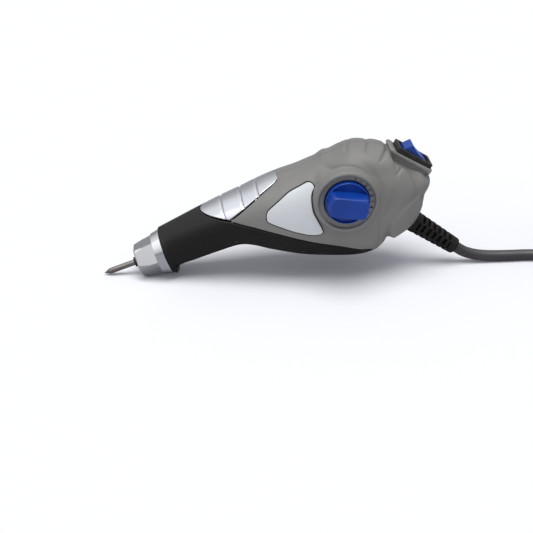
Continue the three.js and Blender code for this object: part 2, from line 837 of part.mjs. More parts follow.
// The striker shaft: chuck, rod and tail in one steel piece.
function makeShaft() {
  const front = -chuckFront;
  const back = front + chuckLength;
  const edge = chuckRadius / 5;
  const profile = [
    [front, 0],
    [front, chuckRadius - edge],
    [front + edge, chuckRadius],
    [back, chuckRadius],
    [back, shaftRadius],
    [shaftEnd, shaftRadius],
    [shaftEnd, 0],
  ];
  const bore = solidOf(rod(-overrun, stylusEnd + clearance, stylusRadius + clearance, 20));
  const crossHole = solidOf(
    rod(0, overrun, chuckScrewRadius + clearance, 14).rotateY(-quarterTurn).translate(-chuckScrewSpot, 0, 0),
  );
  const outer = solidOf(turned(profile, 24));
  return solidPiece('striker_shaft', outer.subtract(bore).subtract(crossHole), steel);
}

function makeChuckScrew() {
  const low = stylusRadius + clearance;
  const high = chuckRadius;
  const screw = rod(low, high, chuckScrewRadius, 14).rotateY(-quarterTurn).translate(-chuckScrewSpot, 0, 0);
  const slot = block(-overrun, overrun, -slotWidth / 2, slotWidth / 2, high - slotDepth, overrun);
  return solidPiece('chuck_screw', solidOf(screw).subtract(solidOf(slot)), steel);
}

function makeFrontBush() {
  const start = frontBushStart;
  const end = start + frontBushLength;
  const outer = spigotRadius - spigotWall - clearance;
  return piece('front_bush', ring(start, end, shaftRadius + clearance, outer), bronze);
}

const rearBushFace = rearBushStart - rearBushLength / 4;
const springStart = rearBushFace - strokeRange - clearance - springLength;

function makeRearBush() {
  const end = rearBushFace + rearBushLength;
  return piece('rear_bush', ring(rearBushFace, end, shaftRadius + clearance, rearBushRadius), bronze);
}

function makeCollar() {
  const end = springStart - clearance;
  return piece('spring_collar', ring(end - collarWidth, end, shaftRadius + clearance, collarRadius), steel);
}

// A helix about local X with its ends drawn flat, as one tube.
function makeSpring() {
  const run = springLength - springWire;
  const steps = springTurns * springSteps;
  const centre = springRadius - springWire / 2;
  const points = [];
  for (let i = 0; i <= steps; i += 1) {
    const share = i / steps;
    const angle = fullTurn * springTurns * share;
    const x = springStart + springWire / 2 + run * share;
    points.push(new THREE.Vector3(x, Math.cos(angle) * centre, Math.sin(angle) * centre));
  }
  return piece('return_spring', ringTube(points, springWire / 2, springSides), steel);
}

// A closed round tube through a list of points, with square ends.
function ringTube(points, radius, sides) {
  const vertices = [];
  const faces = [];
  let normal = new THREE.Vector3(0, 0, 1);
  const last = points.length - 1;
  points.forEach((point, i) => {
    const tangent = points[Math.min(i + 1, last)].clone().sub(points[Math.max(i - 1, 0)]).normalize();
    normal = normal.clone().sub(tangent.clone().multiplyScalar(normal.dot(tangent))).normalize();
    const across = new THREE.Vector3().crossVectors(tangent, normal);
    for (let j = 0; j < sides; j += 1) {
      const angle = (fullTurn * j) / sides;
      const vertex = point.clone();
      vertex.addScaledVector(normal, Math.cos(angle) * radius);
      vertex.addScaledVector(across, Math.sin(angle) * radius);
      vertices.push(vertex.x, vertex.y, vertex.z);
    }
  });
  for (let i = 0; i < last; i += 1) {
    for (let j = 0; j < sides; j += 1) {
      const a = i * sides + j;
      const b = i * sides + ((j + 1) % sides);
      faces.push(a, b, a + sides, b, b + sides, a + sides);
    }
  }
  const end = last * sides;
  for (let j = 1; j < sides - 1; j += 1) {
    faces.push(0, j + 1, j);
    faces.push(end, end + j, end + j + 1);
  }
  const geometry = new THREE.BufferGeometry();
  geometry.setAttribute('position', new THREE.Float32BufferAttribute(vertices, 3));
  geometry.setIndex(faces);
  geometry.computeVertexNormals();
  return geometry;
}

function makeArmature() {
  const start = plateStart;
  const plate = solidOf(
    block(start, start + plateThickness, -plateHalfWidth, plateHalfWidth, -plateHalfHeight, plateHalfHeight),
  ).subtract(solidOf(rod(-overrun, start + overrun, shaftRadius + clearance)));
  const nut = solidOf(rod(start - clearance - nutWidth, start - clearance, nutRadius, 6)).subtract(
    solidOf(rod(-overrun, start + overrun, shaftRadius + clearance, 20)),
  );
  return [solidPiece('armature_plate', plate, steel), solidPiece('armature_nut', nut, steel)];
}

function makeCore() {
  const end = coreEnd;
  const inner = coreHalfHeight - coreLeg;
  const outline = [
    [coreStart, -coreHalfHeight],
    [end, -coreHalfHeight],
    [end, coreHalfHeight],
    [coreStart, coreHalfHeight],
    [coreStart, inner],
    [end - coreYoke, inner],
    [end - coreYoke, -inner],
    [coreStart, -inner],
  ];
  return piece('magnet_core', sideSlab(outline, -coreHalfWidth, coreHalfWidth), steel);
}

// A rectangular tube along local X round a leg of the core.
function legTube(start, end, centre, inner, outer) {
  const halfLeg = coreLeg / 2;
  const around = (from, to, reach) => {
    const half = halfLeg + reach;
    const side = coreHalfWidth + reach;
    return solidOf(block(from, to, -side, side, centre - half, centre + half));
  };
  return around(start, end, outer).subtract(around(start - overrun, end + overrun, inner));
}

function makeWinding(side, name) {
  const centre = side * (coreHalfHeight - coreLeg / 2);
  const end = bobbinEnd;
  const wall = clearance + bobbinWall;
  const bobbin = joined([
    legTube(bobbinStart, end, centre, clearance, wall),
    legTube(bobbinStart, bobbinStart + bobbinFlange, centre, clearance, flangeReach),
    legTube(end - bobbinFlange, end, centre, clearance, flangeReach),
  ]);
  const inset = bobbinFlange + clearance;
  const under = wall + clearance;
  const winding = legTube(bobbinStart + inset, end - inset, centre, under, under + windingDepth);
  return [solidPiece(`bobbin_${name}`, bobbin, nylon), solidPiece(`winding_${name}`, winding, copper)];
}

// The shoe between the cam and the shaft's tail, and the block that guides it between the core's legs.
function makeStrokeStop() {
  const start = shoeEnd - shoeLength;
  const inner = coreHalfHeight - coreLeg - clearance;
  const shoe = rod(start, shoeEnd, shoeRadius, 20).translate(0, 0, knobInNose.z);
  const guideEnd = shoeEnd - camRise - clearance;
  const side = coreHalfWidth - clearance;
  const guide = solidOf(block(guideEnd - guideLength, guideEnd, -side, side, -inner, inner));
  const bore = rod(start, shoeEnd, shoeRadius + clearance, 20).translate(0, 0, knobInNose.z);
  return [piece('stroke_shoe', shoe, nylon), solidPiece('shoe_guide', guide.subtract(solidOf(bore)), bronze)];
}

// The spindle with its cam: the radius rises steadily over the dial's turn and falls back over the rest.
function makeSpindle() {
  const outline = new THREE.Shape();
  const steps = 36;
  for (let i = 0; i < steps; i += 1) {
    const angle = (fullTurn * i) / steps;
    const rise = angle <= knobTurn ? angle / knobTurn : (fullTurn - angle) / (fullTurn - knobTurn);
    const radius = camBase + camRise * rise;
    const facing = camFacing + angle;
    if (i === 0) outline.moveTo(Math.cos(facing) * radius, Math.sin(facing) * radius);
    else outline.lineTo(Math.cos(facing) * radius, Math.sin(facing) * radius);
  }
  const cam = raised(outline, -camWidth / 2, camWidth / 2);
  const shaft = rod(-spindleTail, knobSeat - clearance, spindleRadius, 20).rotateY(-quarterTurn);
  return solidPiece('dial_spindle', solidOf(cam).add(solidOf(shaft)), steel);
}

function makeClip() {
  const clip = ring(clipSpot, clipSpot + clipWidth, spindleRadius + clearance, clipRadius, 16);
  return piece('dial_clip', clip.rotateY(-quarterTurn), steel);
}

// The knob: a dished disc with a thin rim and a tapered finger bar across it.
function makeKnob() {
  const top = knobSeat + knobHeight;
  const disc = turned(
    [
      [knobSeat, 0],
      [knobSeat, knobRadius],
      [top - knobRim / 2, knobRadius],
      [top, knobRadius - knobRim / 2],
      [top, knobRadius - knobRim],
      [top - knobDish, knobRadius - knobRim - knobDish / 2],
      [top - knobDish, 0],
    ],
    40,
  ).rotateY(-quarterTurn);
  const barFoot = top - knobDish * 2;
  const barTop = top + knobBarHeight;
  const barReach = knobRadius - knobRim / 2;
  const drum = turned([[barFoot, 0], [barFoot, knobRadius], [barTop, barReach], [barTop, 0]], 40);
  drum.rotateY(-quarterTurn);
  const profile = [
    [-knobBarWidth / 2, barFoot],
    [knobBarWidth / 2, barFoot],
    [knobBarTopWidth / 2, barTop],
    [-knobBarTopWidth / 2, barTop],
  ];
  const wedge = sideSlab(profile, -overrun, overrun).rotateZ(quarterTurn + knobBarLean);
  const bar = solidOf(drum).intersect(solidOf(wedge));
  return solidPiece('stroke_knob', solidOf(disc).add(bar), bluePlastic);
}

function makeSwitchBody() {
  const bezel = solidOf(raised(roundedRectangle(bezelLength, bezelWidth, bezelCorner), -bezelHeight, 0));
  const bodyOutline = roundedRectangle(switchBodyLength, switchBodyWidth, bezelCorner / 2);
  const body = solidOf(raised(bodyOutline, -bezelHeight - switchBodyDepth, -bezelHeight / 2));
  const well = solidOf(raised(roundedRectangle(wellLength, wellWidth, bezelCorner / 2), -wellDepth, overrun));
  const socket = switchBodyWidth / 2 - clearance;
  const pivotWay = rod(-socket, socket, pivotRadius + clearance, 14).rotateZ(quarterTurn);
  pivotWay.translate(0, 0, -rockerPivotDepth);
  return solidPiece('switch_body', bezel.add(body).subtract(well).subtract(solidOf(pivotWay)), blackPlastic);
}

// The rocker with its two pivot stubs, tipped so that its front end stands proud.
function makeRocker() {
  const x = rockerHalfLength;
  const profile = new THREE.Shape();
  profile.moveTo(-x, -rockerSkirt);
  profile.lineTo(-x / 2, -rockerKeel);
  profile.lineTo(x / 2, -rockerKeel);
  profile.lineTo(x, -rockerSkirt);
  profile.lineTo(x, rockerEnd);
  profile.quadraticCurveTo(0, rockerDip * 2 - rockerEnd, -x, rockerEnd);
  const body = new THREE.ExtrudeGeometry(profile, {
    depth: rockerWidth,
    bevelEnabled: false,
    curveSegments: 12,
  });
  body.rotateX(quarterTurn).translate(0, rockerWidth / 2, 0);
  const stub = switchBodyWidth / 2 - clearance * 2;
  const pins = rod(-stub, stub, pivotRadius, 14).rotateZ(quarterTurn).translate(0, 0, -rockerPivotDepth);
  const mesh = solidPiece('rocker', solidOf(body).add(solidOf(pins)), bluePlastic);
  mesh.geometry.translate(0, 0, rockerPivotDepth).rotateY(rockerTilt).translate(0, 0, -rockerPivotDepth);
  return mesh;
}

function makeTerminals() {
  const top = -bezelHeight - switchBodyDepth - clearance;
  const terminalLength = bodyHeight * terminalLengthShare;
  return [-1, 1].map((side) => {
    const x = (side * terminalPitch) / 2;
    const blade = block(
      x - terminalThickness / 2,
      x + terminalThickness / 2,
      -terminalWidth / 2,
      terminalWidth / 2,
      top - terminalLength,
      top,
    );
    return piece(side < 0 ? 'switch_terminal_front' : 'switch_terminal_rear', blade, bronze);
  });
}

// The strain relief: a tapering ribbed sleeve with a flange that the housing halves trap.
function makeRelief() {
  const pitch = reliefLength / (reliefRibs + 1);
  const radiusAt = (x) => reliefRadius + ((reliefTipRadius - reliefRadius) * x) / reliefLength;
  const flangeEnd = reliefFlangeWidth - reliefInset;
  const profile = [
    [-reliefInset, 0],
    [-reliefInset, reliefFlange],
    [flangeEnd, reliefFlange],
    [flangeEnd, reliefNeck],
    [clearance, reliefNeck],
    [clearance, radiusAt(0)],
  ];
  for (let i = 1; i <= reliefRibs; i += 1) {
    const start = pitch * i - (pitch * reliefGrooveShare) / 2;
    const end = pitch * i + (pitch * reliefGrooveShare) / 2;
    profile.push([start, radiusAt(start)], [start, radiusAt(start) - reliefGroove]);
    profile.push([end, radiusAt(end) - reliefGroove], [end, radiusAt(end)]);
  }
  profile.push([reliefLength, reliefTipRadius], [reliefLength, 0]);
  return piece('strain_relief', turned(profile, 12), blackRubber);
}

function makeInnerLead() {
  const start = -reliefInset - clearance - innerLeadLength;
  return piece('inner_lead', rod(start, -reliefInset - clearance, leadRadius, 16), blackVinyl);
}

// A cheese-head screw along local X, with its shank from start to the underside of the head.
function screwForm(start, under, head, shankRadius, headRadius) {
  const profile = [
    [start, 0],
    [start, shankRadius],
    [under, shankRadius],
    [under, headRadius],
    [under + head, headRadius],
    [under + head, 0],
  ];
  return turned(profile, 12);
}

// The bar that holds the inner lead down, and its two screws.
function makeClamp() {
  const x = -reliefInset - clampSpot;
  const low = leadRadius + clearance;
  const high = low + clampThickness;
  const [start, side] = [x - clampWidth / 2, clampLength / 2];
  const bar = solidOf(block(start, start + clampWidth, -side, side, low, high));
  const top = high + clearance;
  const places = [-clampScrewSpacing, clampScrewSpacing];
  const screws = places.map((y) => {
    const screw = screwForm(top - clampScrewLength, top, clampHead, clampScrewRadius, clampHeadRadius);
    return screw.rotateY(-quarterTurn).translate(x, y, 0);
  });
  const holes = places.map((y) => {
    const hole = rod(-overrun, overrun, clampScrewRadius + clearance, 14).rotateY(-quarterTurn);
    return solidOf(hole.translate(x, y, 0));
  });
  const pieces = [solidPiece('lead_clamp', bar.subtract(joined(holes)), nylon)];
  screws.forEach((screw, i) => pieces.push(piece(`clamp_screw_${i + 1}`, screw, steel)));
  return pieces;
}

function makeHousingScrews() {
  return screwTable.map(({ name, place, seat }) => {
    const [x, z] = sidePoint(place);
    const under = seat + clearance;
    const top = under + screwHead;
    const at = new THREE.Matrix4().makeRotationZ(quarterTurn).setPosition(x, 0, z);
    const screw = screwForm(-seat, under, screwHead, screwRadius, screwHeadRadius);
    const slots = [0, 1].map((turn) => {
      const slot = block(top - slotDepth, overrun, -slotWidth / 2, slotWidth / 2, -screwRadius, screwRadius);
      return solidOf(slot.rotateX(turn * quarterTurn), at);
    });
    return solidPiece(name, solidOf(screw, at).subtract(joined(slots)), steel);
  });
}

// A round tube of the lead's thickness along a smooth line through a list of points.
function leadTube(points, steps) {
  const section = new THREE.Shape();
  section.absarc(0, 0, leadRadius, 0, fullTurn, false);
  return new THREE.ExtrudeGeometry(section, {
    steps,
    curveSegments: cordSides / 4,
    bevelEnabled: false,
    extrudePath: new THREE.CatmullRomCurve3(points),
  });
}

// The mains lead's loose run on the surface.
function makeCord() {
  const points = cordRoute.map(([x, y, z]) => new THREE.Vector3(x, y, z));
  return piece('power_cord', leadTube(points, 14), blackVinyl);
}

// The way the wound length runs at an angle round its middle.
function coilHeading(angle) {
  return new THREE.Vector3(-Math.sin(angle), Math.cos(angle), 0);
}

// How many layers the wound length has climbed after a number of turns.
function coilClimb(turns) {
  let climb = 0;
  for (let layer = 1; layer < coilLayers; layer += 1) {
    const share = (turns - layer * coilLayerTurns + coilClimbShare) / (coilClimbShare * 2);
    climb += THREE.MathUtils.clamp(share, 0, 1);
  }
  return climb;
}

// The wound length: turns that spiral in on the surface, climb a layer, spiral out again, and so on.
function coilPoints() {
  const points = [];
  const steps = coilTurns * coilSteps;
  for (let i = 0; i <= steps; i += 1) {
    const turns = i / coilSteps;
    const angle = coilStart + fullTurn * turns;
    const fold = coilLayerTurns - Math.abs((turns % (coilLayerTurns * 2)) - coilLayerTurns);
    const radius = coilRadius - coilPitch * fold;
    const x = coilCentre[0] + Math.cos(angle) * radius;
    const y = coilCentre[1] + Math.sin(angle) * radius;
    points.push(new THREE.Vector3(x, y, leadRadius + coilLift * coilClimb(turns)));
  }
  points.unshift(points[0].clone().addScaledVector(coilHeading(coilStart), -coilStub));
  points.push(points[points.length - 1].clone().addScaledVector(coilHeading(coilEnd), coilStub));
  return points;
}

// The end that leaves the top layer, turns over the wound length and rises to the plug.
function tailPoints(end) {
  const heading = coilHeading(coilEnd);
  const bend = -Math.atan2(heading.y, heading.x);
  const turn = bend > 0 ? bend : bend + fullTurn;
  const length = turn * tailBend + tailRun * 2;
  const side = new THREE.Vector3(-heading.y, heading.x, 0).multiplyScalar(tailBend);
  const start = end.clone().addScaledVector(heading, clearance);
  const pivot = start.clone().addScaledVector(heading, tailRun).add(side);
  const rise = leadRadius + clearance + plugThickness / 2;
  const points = [{ at: start.clone(), share: 0 }];
  for (let i = 0; i <= tailBendSteps; i += 1) {
    const angle = (turn * i) / tailBendSteps;
    const spoke = side.clone().negate().applyAxisAngle(new THREE.Vector3(0, 0, 1), angle);
    points.push({ at: pivot.clone().add(spoke), share: (tailRun + angle * tailBend) / length });
  }
  const last = points[points.length - 1].at;
  points.push({ at: last.clone().setX(last.x + tailRun / 2), share: 1 - tailRun / 2 / length });
  points.push({ at: last.clone().setX(last.x + tailRun), share: 1 });
  return points.map(({ at, share }) => {
    return at.setZ(start.z + rise * THREE.MathUtils.smoothstep(share, 0, tailRiseShare));
  });
}

// The least space between the surfaces of stretches that lie more than half a turn apart.
function leastGap(points, radius) {
  let least = Infinity;
  for (let i = 0; i < points.length; i += 1) {
    for (let j = i + coilSteps / 2; j < points.length; j += 1) {
      least = Math.min(least, points[i].distanceTo(points[j]));
    }
  }
  return least - radius * 2;
}

function makeCoil() {
  const points = coilPoints();
  console.log(`least gap between the turns of cord_coil: ${leastGap(points, leadRadius).toFixed(2)} mm`);
  return piece('cord_coil', ringTube(points, leadRadius, coilSides), blackVinyl);
}

function makeTail(points) {
  return piece('cord_tail', leadTube(points, 18), blackVinyl);
}

// A flat two-pin mains plug that lies on its broad side, with its cord entry at the given point.
function makePlug(entry) {
  const start = entry.x + clearance;
  const halfWidth = plugWidth / 2;
  const halfNeck = plugNeck / 2;
  const shoulder = plugLength * plugShoulderShare;
  const outline = new THREE.Shape();
  outline.moveTo(0, -halfNeck);
  outline.lineTo(shoulder, -halfWidth);
  outline.lineTo(plugLength, -halfWidth);
  outline.lineTo(plugLength, halfWidth);
  outline.lineTo(shoulder, halfWidth);
  outline.lineTo(0, halfNeck);
  const body = new THREE.ExtrudeGeometry(outline, {
    depth: plugThickness - plugEdge * 2,
    bevelThickness: plugEdge,
    bevelSize: plugEdge,
    bevelOffset: -plugEdge,
    bevelSegments: 2,
  }).translate(start, entry.y, entry.z + plugEdge - plugThickness / 2);
  const face = start + plugLength + clearance;
  const shank = face + pinLength - pinRadius;
  const tip = face + pinLength;
  const pins = [-1, 1].map((side, i) => {
    const profile = [[face, 0], [face, pinRadius], [shank, pinRadius], [tip, pinRadius / 2], [tip, 0]];
    const pin = turned(profile, 16).translate(0, entry.y + (side * pinPitch) / 2, entry.z);
    return piece(`plug_pin_${i + 1}`, pin, brightMetal);
  });
  return [piece('plug_body', body, blackVinyl), ...pins];
}

function makePen() {
  const pen = new THREE.Group();
  noseFrame.add(makeNoseCone(), makeSeal(), makeStylus(), makeShaft(), makeChuckScrew());
  noseFrame.add(makeFrontBush(), makeRearBush(), makeCollar(), makeSpring(), ...makeArmature(), makeCore());
  noseFrame.add(...makeWinding(1, 'upper'), ...makeWinding(-1, 'lower'), ...makeStrokeStop());
  knobFrame.add(makeSpindle(), makeClip(), makeKnob());
  switchFrame.add(makeSwitchBody(), makeRocker(), ...makeTerminals());
  exitFrame.add(makeRelief(), makeInnerLead(), ...makeClamp());
  pen.add(...makeHousing(), ...makeGrip(), ...makeInlay(), ...makeBadge(), ...makeHousingScrews());
  pen.add(noseFrame, knobFrame, switchFrame, exitFrame);
  return pen;
}

// The pen stands so that the middle of its bounding box is over the origin, with its lowest point at zero.
const pen = makePen();
pen.updateMatrixWorld(true);
const penBox = new THREE.Box3().setFromObject(pen, true);
const penMiddle = penBox.getCenter(new THREE.Vector3());
pen.position.set(-penMiddle.x, -penMiddle.y, -penBox.min.z);

const tail = tailPoints(coilPoints().pop());
const engravingPen = new THREE.Group();
engravingPen.add(pen, makeCord(), makeCoil(), makeTail(tail), ...makePlug(tail[tail.length - 1]));

export default engravingPen;
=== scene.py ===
"""Electric engraving pen, dressed for its studio picture.

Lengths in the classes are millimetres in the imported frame; meshes are written in metres. The pen's own
pieces are worked out about its middle plane (y = 0) and moved to the frame's middle plane at the end.
"""
import logging
import math
from collections.abc import Callable
from dataclasses import dataclass
from enum import Enum

import bpy
import numpy as np
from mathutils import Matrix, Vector


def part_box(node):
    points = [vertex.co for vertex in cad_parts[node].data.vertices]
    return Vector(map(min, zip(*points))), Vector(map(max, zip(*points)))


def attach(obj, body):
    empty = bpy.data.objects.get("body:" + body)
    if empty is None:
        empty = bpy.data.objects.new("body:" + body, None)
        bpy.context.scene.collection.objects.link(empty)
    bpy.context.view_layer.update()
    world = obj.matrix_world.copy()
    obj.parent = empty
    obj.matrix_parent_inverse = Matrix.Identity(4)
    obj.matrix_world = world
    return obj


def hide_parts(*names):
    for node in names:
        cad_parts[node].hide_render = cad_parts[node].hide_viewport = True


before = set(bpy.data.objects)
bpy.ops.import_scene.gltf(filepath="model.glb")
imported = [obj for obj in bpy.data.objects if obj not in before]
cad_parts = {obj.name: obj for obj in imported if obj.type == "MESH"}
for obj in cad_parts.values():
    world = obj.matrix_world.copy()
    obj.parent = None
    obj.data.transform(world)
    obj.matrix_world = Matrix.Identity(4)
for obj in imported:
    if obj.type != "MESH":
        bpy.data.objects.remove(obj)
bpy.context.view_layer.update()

LOG = logging.getLogger("engraving_pen")
MM = 0.001
PEN_MIDDLE = (0.0, 5.903, 0.0)
NOWHERE = (0.0, 0.0, 0.0)
# A border angle closer than this to the middle plane is a seam between the two halves.
SEAM_ANGLE = 1e-3
# Points of one object that are closer than this become one, in millimetres.
WELD = 1e-4
SIDES = ((1, "left"), (-1, "right"))
# Length of the insulating sleeve at a plug pin's root, in metres.
PIN_SLEEVE = 0.0105
Array = np.ndarray
Object = bpy.types.Object
Point = tuple[float, float, float]
Socket = bpy.types.NodeSocket
Table = tuple[tuple[float, ...], ...]
Tree = bpy.types.NodeTree


# ---------------------------------------------------------------- shapes as arrays

def ease(value: Array) -> Array:
    """Smooth step: 0 below 0, 1 above 1, and 3v^2 - 2v^3 between."""
    share = np.clip(value, 0.0, 1.0)
    return share * share * (3.0 - 2.0 * share)


def ramp(value: Array, start: float, full: float) -> Array:
    """Smooth step from 0 at start to 1 at full, which lies on either side of it."""
    return ease((value - start) / (full - start))


def window(places: Array, spans: Table) -> Array:
    """Product of smooth steps: each span is a coordinate's number and where its step starts and is full."""
    return math.prod(ramp(places[:, axis], start, full) for axis, start, full in spans)


def bell(value: Array) -> Array:
    """Bell curve: e to the power of minus the value squared."""
    return np.exp(-(value**2))


def signed_power(value: Array, power: Array) -> Array:
    """The value's sign times its size raised to a power."""
    return np.sign(value) * np.abs(value) ** power


def unit(vectors: Array) -> Array:
    """Vectors of length one along the last axis."""
    return vectors / np.maximum(np.linalg.norm(vectors, axis=-1, keepdims=True), 1e-12)


def circle(sides: int) -> Array:
    """Even angles once round."""
    return np.linspace(0, 2 * math.pi, sides, endpoint=False)


def run_along(line: Array) -> Array:
    """Length along a line at each of its points."""
    return np.concatenate([[0], np.cumsum(np.linalg.norm(np.diff(line, axis=0), axis=1))])


def at_level(height: float, outline: Array) -> Array:
    """An outline's two coordinates behind a first one that all its points share."""
    return np.column_stack([np.full(len(outline), height), outline])


def pointed(rings: Array, keep: Point) -> Array:
    """Rings with one more at each end that keeps only its place on the axis, so that the end is closed."""
    return np.concatenate([rings[:1] * keep, rings, rings[-1:] * keep])


def catmull(points: Array, share: Array) -> Array:
    """Points of a uniform Catmull-Rom curve with mirrored ends, at shares 0 to 1 of the whole curve.

    Args:
        points: the curve's corners.
        share: shares 0 to 1 of the whole curve.
    Returns:
        The curve's points at the shares.
    """
    rows = np.vstack([2 * points[0] - points[1], points, 2 * points[-1] - points[-2]])
    count = len(points) - 1
    place = np.clip(share, 0.0, 1.0) * count
    index = np.minimum(place.astype(int), count - 1)
    t = (place - index)[..., None]
    a, b, c, d = (rows[index + step] for step in range(4))
    slope_b, slope_c = (c - a) / 2, (d - b) / 2
    return (2 * b - 2 * c + slope_b + slope_c) * t**3 + (3 * c - 3 * b - 2 * slope_b - slope_c) * t**2 + slope_b * t + b


def row_interpolate(wanted: Array, known: Array, values: Array) -> Array:
    """Linear interpolation done row by row, with known rising along each row.

    Args:
        wanted: places to read, rows by columns.
        known: rising places where values are known, rows by samples.
        values: the known values, rows by samples.
    Returns:
        The values at the wanted places.
    """
    index = (known[:, None, :] < wanted[:, :, None]).sum(-1)
    index = np.clip(index, 1, known.shape[1] - 1)
    row = np.arange(len(known))[:, None]
    left, right = known[row, index - 1], known[row, index]
    share = np.clip((wanted - left) / np.maximum(right - left, 1e-9), 0.0, 1.0)
    return values[row, index - 1] * (1 - share) + values[row, index] * share


def line_distance(points: Array, line: Array) -> tuple[Array, Array, Array]:
    """Distance from points to a bent line.

    Args:
        points: places, n by 3.
        line: the line's corners, k by 3.
    Returns:
        Distance, place along the line from 0 to k - 1, and the side: above 0 is left of travel in x and z.
    """
    start, step = line[:-1], np.diff(line, axis=0)
    offset = points[:, None, :] - start[None]
    share = np.clip((offset * step).sum(-1) / (step * step).sum(-1), 0.0, 1.0)
    away = offset - share[..., None] * step
    distance = np.linalg.norm(away, axis=-1)
    best = distance.argmin(1)
    pick = np.arange(len(points))
    side = step[best, 0] * offset[pick, best, 2] - step[best, 2] * offset[pick, best, 0]
    return distance[pick, best], best + share[pick, best], np.sign(side)


def rounded_outline(length: float, width: float, corner: float, per_corner: int = 8) -> Array:
    """A closed rectangle with round corners in x and y, centred, with a fixed number of points.

    Args:
        length, width: its size in x and in y.
        corner: the corners' radius, cut back where a side is short.
        per_corner: points on each corner.
    Returns:
        Its points, x and y.
    """
    corner = max(min(corner, length / 2, width / 2), 1e-3)
    turn = np.linspace(0, math.pi / 2, per_corner)
    quarters = np.concatenate([turn + quarter * math.pi / 2 for quarter in range(4)])
    sign_x = np.repeat([1, -1, -1, 1], per_corner)
    sign_y = np.repeat([1, 1, -1, -1], per_corner)
    x = sign_x * (length / 2 - corner) + np.cos(quarters) * corner
    y = sign_y * (width / 2 - corner) + np.sin(quarters) * corner
    return np.stack([x, y], -1)


def soften(profile: list[tuple[float, float]], radius: float, steps: int = 4) -> Array:
    """A profile whose corners are replaced with short parabolas.

    Args:
        profile: corner points in order.
        radius: how far each side the rounding starts, cut back where sides are short.
        steps: points on each rounding.
    Returns:
        The rounded profile's points.
    """
    points = np.asarray(profile, float)
    rounded = [points[:1]]
    share = np.linspace(0, 1, steps)[:, None]
    for before, corner, after in zip(points[:-2], points[1:-1], points[2:]):
        reach = min(radius, np.linalg.norm(before - corner) / 2.2, np.linalg.norm(after - corner) / 2.2)
        first = corner + unit(before - corner) * reach
        last = corner + unit(after - corner) * reach
        rounded.append(first * (1 - share) ** 2 + 2 * corner * share * (1 - share) + last * share**2)
    rounded.append(points[-1:])
    return np.vstack(rounded)


@dataclass
class Sheet:
    """A grid of points, rows by columns, with what joins round."""

    points: Array
    round_rows: bool = False
    round_columns: bool = False
    uv: Array | None = None

    def faces(self) -> Array:
        """Quads between neighbouring rows and columns, as four indices each.

        Returns:
            The quads, n by 4.
        """
        rows, columns = self.points.shape[:2]
        number = np.arange(rows * columns).reshape(rows, columns)
        if self.round_rows:
            number = np.vstack([number, number[:1]])
        if self.round_columns:
            number = np.hstack([number, number[:, :1]])
        corners = (number[:-1, :-1], number[1:, :-1], number[1:, 1:], number[:-1, 1:])
        return np.stack(corners, -1).reshape(-1, 4)


@dataclass(frozen=True)
class Axes:
    """A small frame: an origin and three directions, in which a piece is worked out."""

    origin: Point
    x: Point
    y: Point
    z: Point

    def out(self, points: Array) -> Array:
        """Points given in this frame, in the pen's frame."""
        return points @ np.array([self.x, self.y, self.z]) + np.array(self.origin)

    def local(self, points: Array) -> Array:
        """Points given in the pen's frame, in this frame."""
        return (points - np.array(self.origin)) @ np.array([self.x, self.y, self.z]).T

    def rings(self, grid: Array, round_rows: bool = False) -> Sheet:
        """A grid of closed rings given in this frame."""
        return Sheet(self.out(grid), round_rows, True)

    def spun(self, along: Array, radius: Array, sides: int, round_rows: bool = False) -> Sheet:
        """Rings round x: the point of ring i at angle t is (along_i, radius_it cos t, radius_it sin t).

        Args:
            along: each ring's place on the axis.
            radius: each ring's radius, or its radius at each angle.
            sides: points round a ring.
            round_rows: whether the last ring joins the first.
        Returns:
            The turned grid.
        """
        angle, radius = circle(sides), np.reshape(radius, (len(along), -1))
        grid = [along[:, None] + 0 * angle, radius * np.cos(angle), radius * np.sin(angle)]
        return self.rings(np.stack(grid, -1), round_rows)


def tilted(x: float, z: float, degrees: float) -> Axes:
    """A frame at a side-view place whose x axis is tipped down towards the rear by an angle."""
    c, s = math.cos(math.radians(degrees)), math.sin(math.radians(degrees))
    return Axes((x, 0.0, z), (c, 0.0, -s), (0.0, 1.0, 0.0), (s, 0.0, c))


NOSE_AXES = tilted(-62.292, 13.536, -20.0)
SWITCH_AXES = tilted(67.769, 64.777, 30.4)
EXIT_AXES = tilted(70.721, 25.748, 34.0)
DIAL_AXES = Axes((30.113, 0.0, 49.746), (0.0, -1.0, 0.0), (1.0, 0.0, 0.0), (0.0, 0.0, 1.0))


def tube(centres: Array, radius: float, sides: int) -> Sheet:
    """A round tube with closed ends along a line that is nowhere upright.

    The ring at a centre is spanned by the level direction across the line and the one square to both, and
    the texture place is (length along, share round).

    Args:
        centres: the line's points.
        radius: the tube's radius.
        sides: points round it.
    Returns:
        The tube, closed to a point at each end of the line.
    """
    heading = unit(np.gradient(centres, axis=0))
    across = unit(np.cross(heading, (0.0, 0.0, 1.0)))
    above = np.cross(across, heading)
    angle = circle(sides)[None, :, None]
    body = centres[:, None] + (across[:, None] * np.cos(angle) + above[:, None] * np.sin(angle)) * radius
    points = np.concatenate([body[:1] * 0 + centres[0], body, body[-1:] * 0 + centres[-1]])
    run = np.pad(run_along(centres), 1, "edge")[:, None] * MM
    uv = np.stack(np.broadcast_arrays(run, np.linspace(0, 1, sides, endpoint=False)[None]), -1)
    return Sheet(points, round_columns=True, uv=uv)


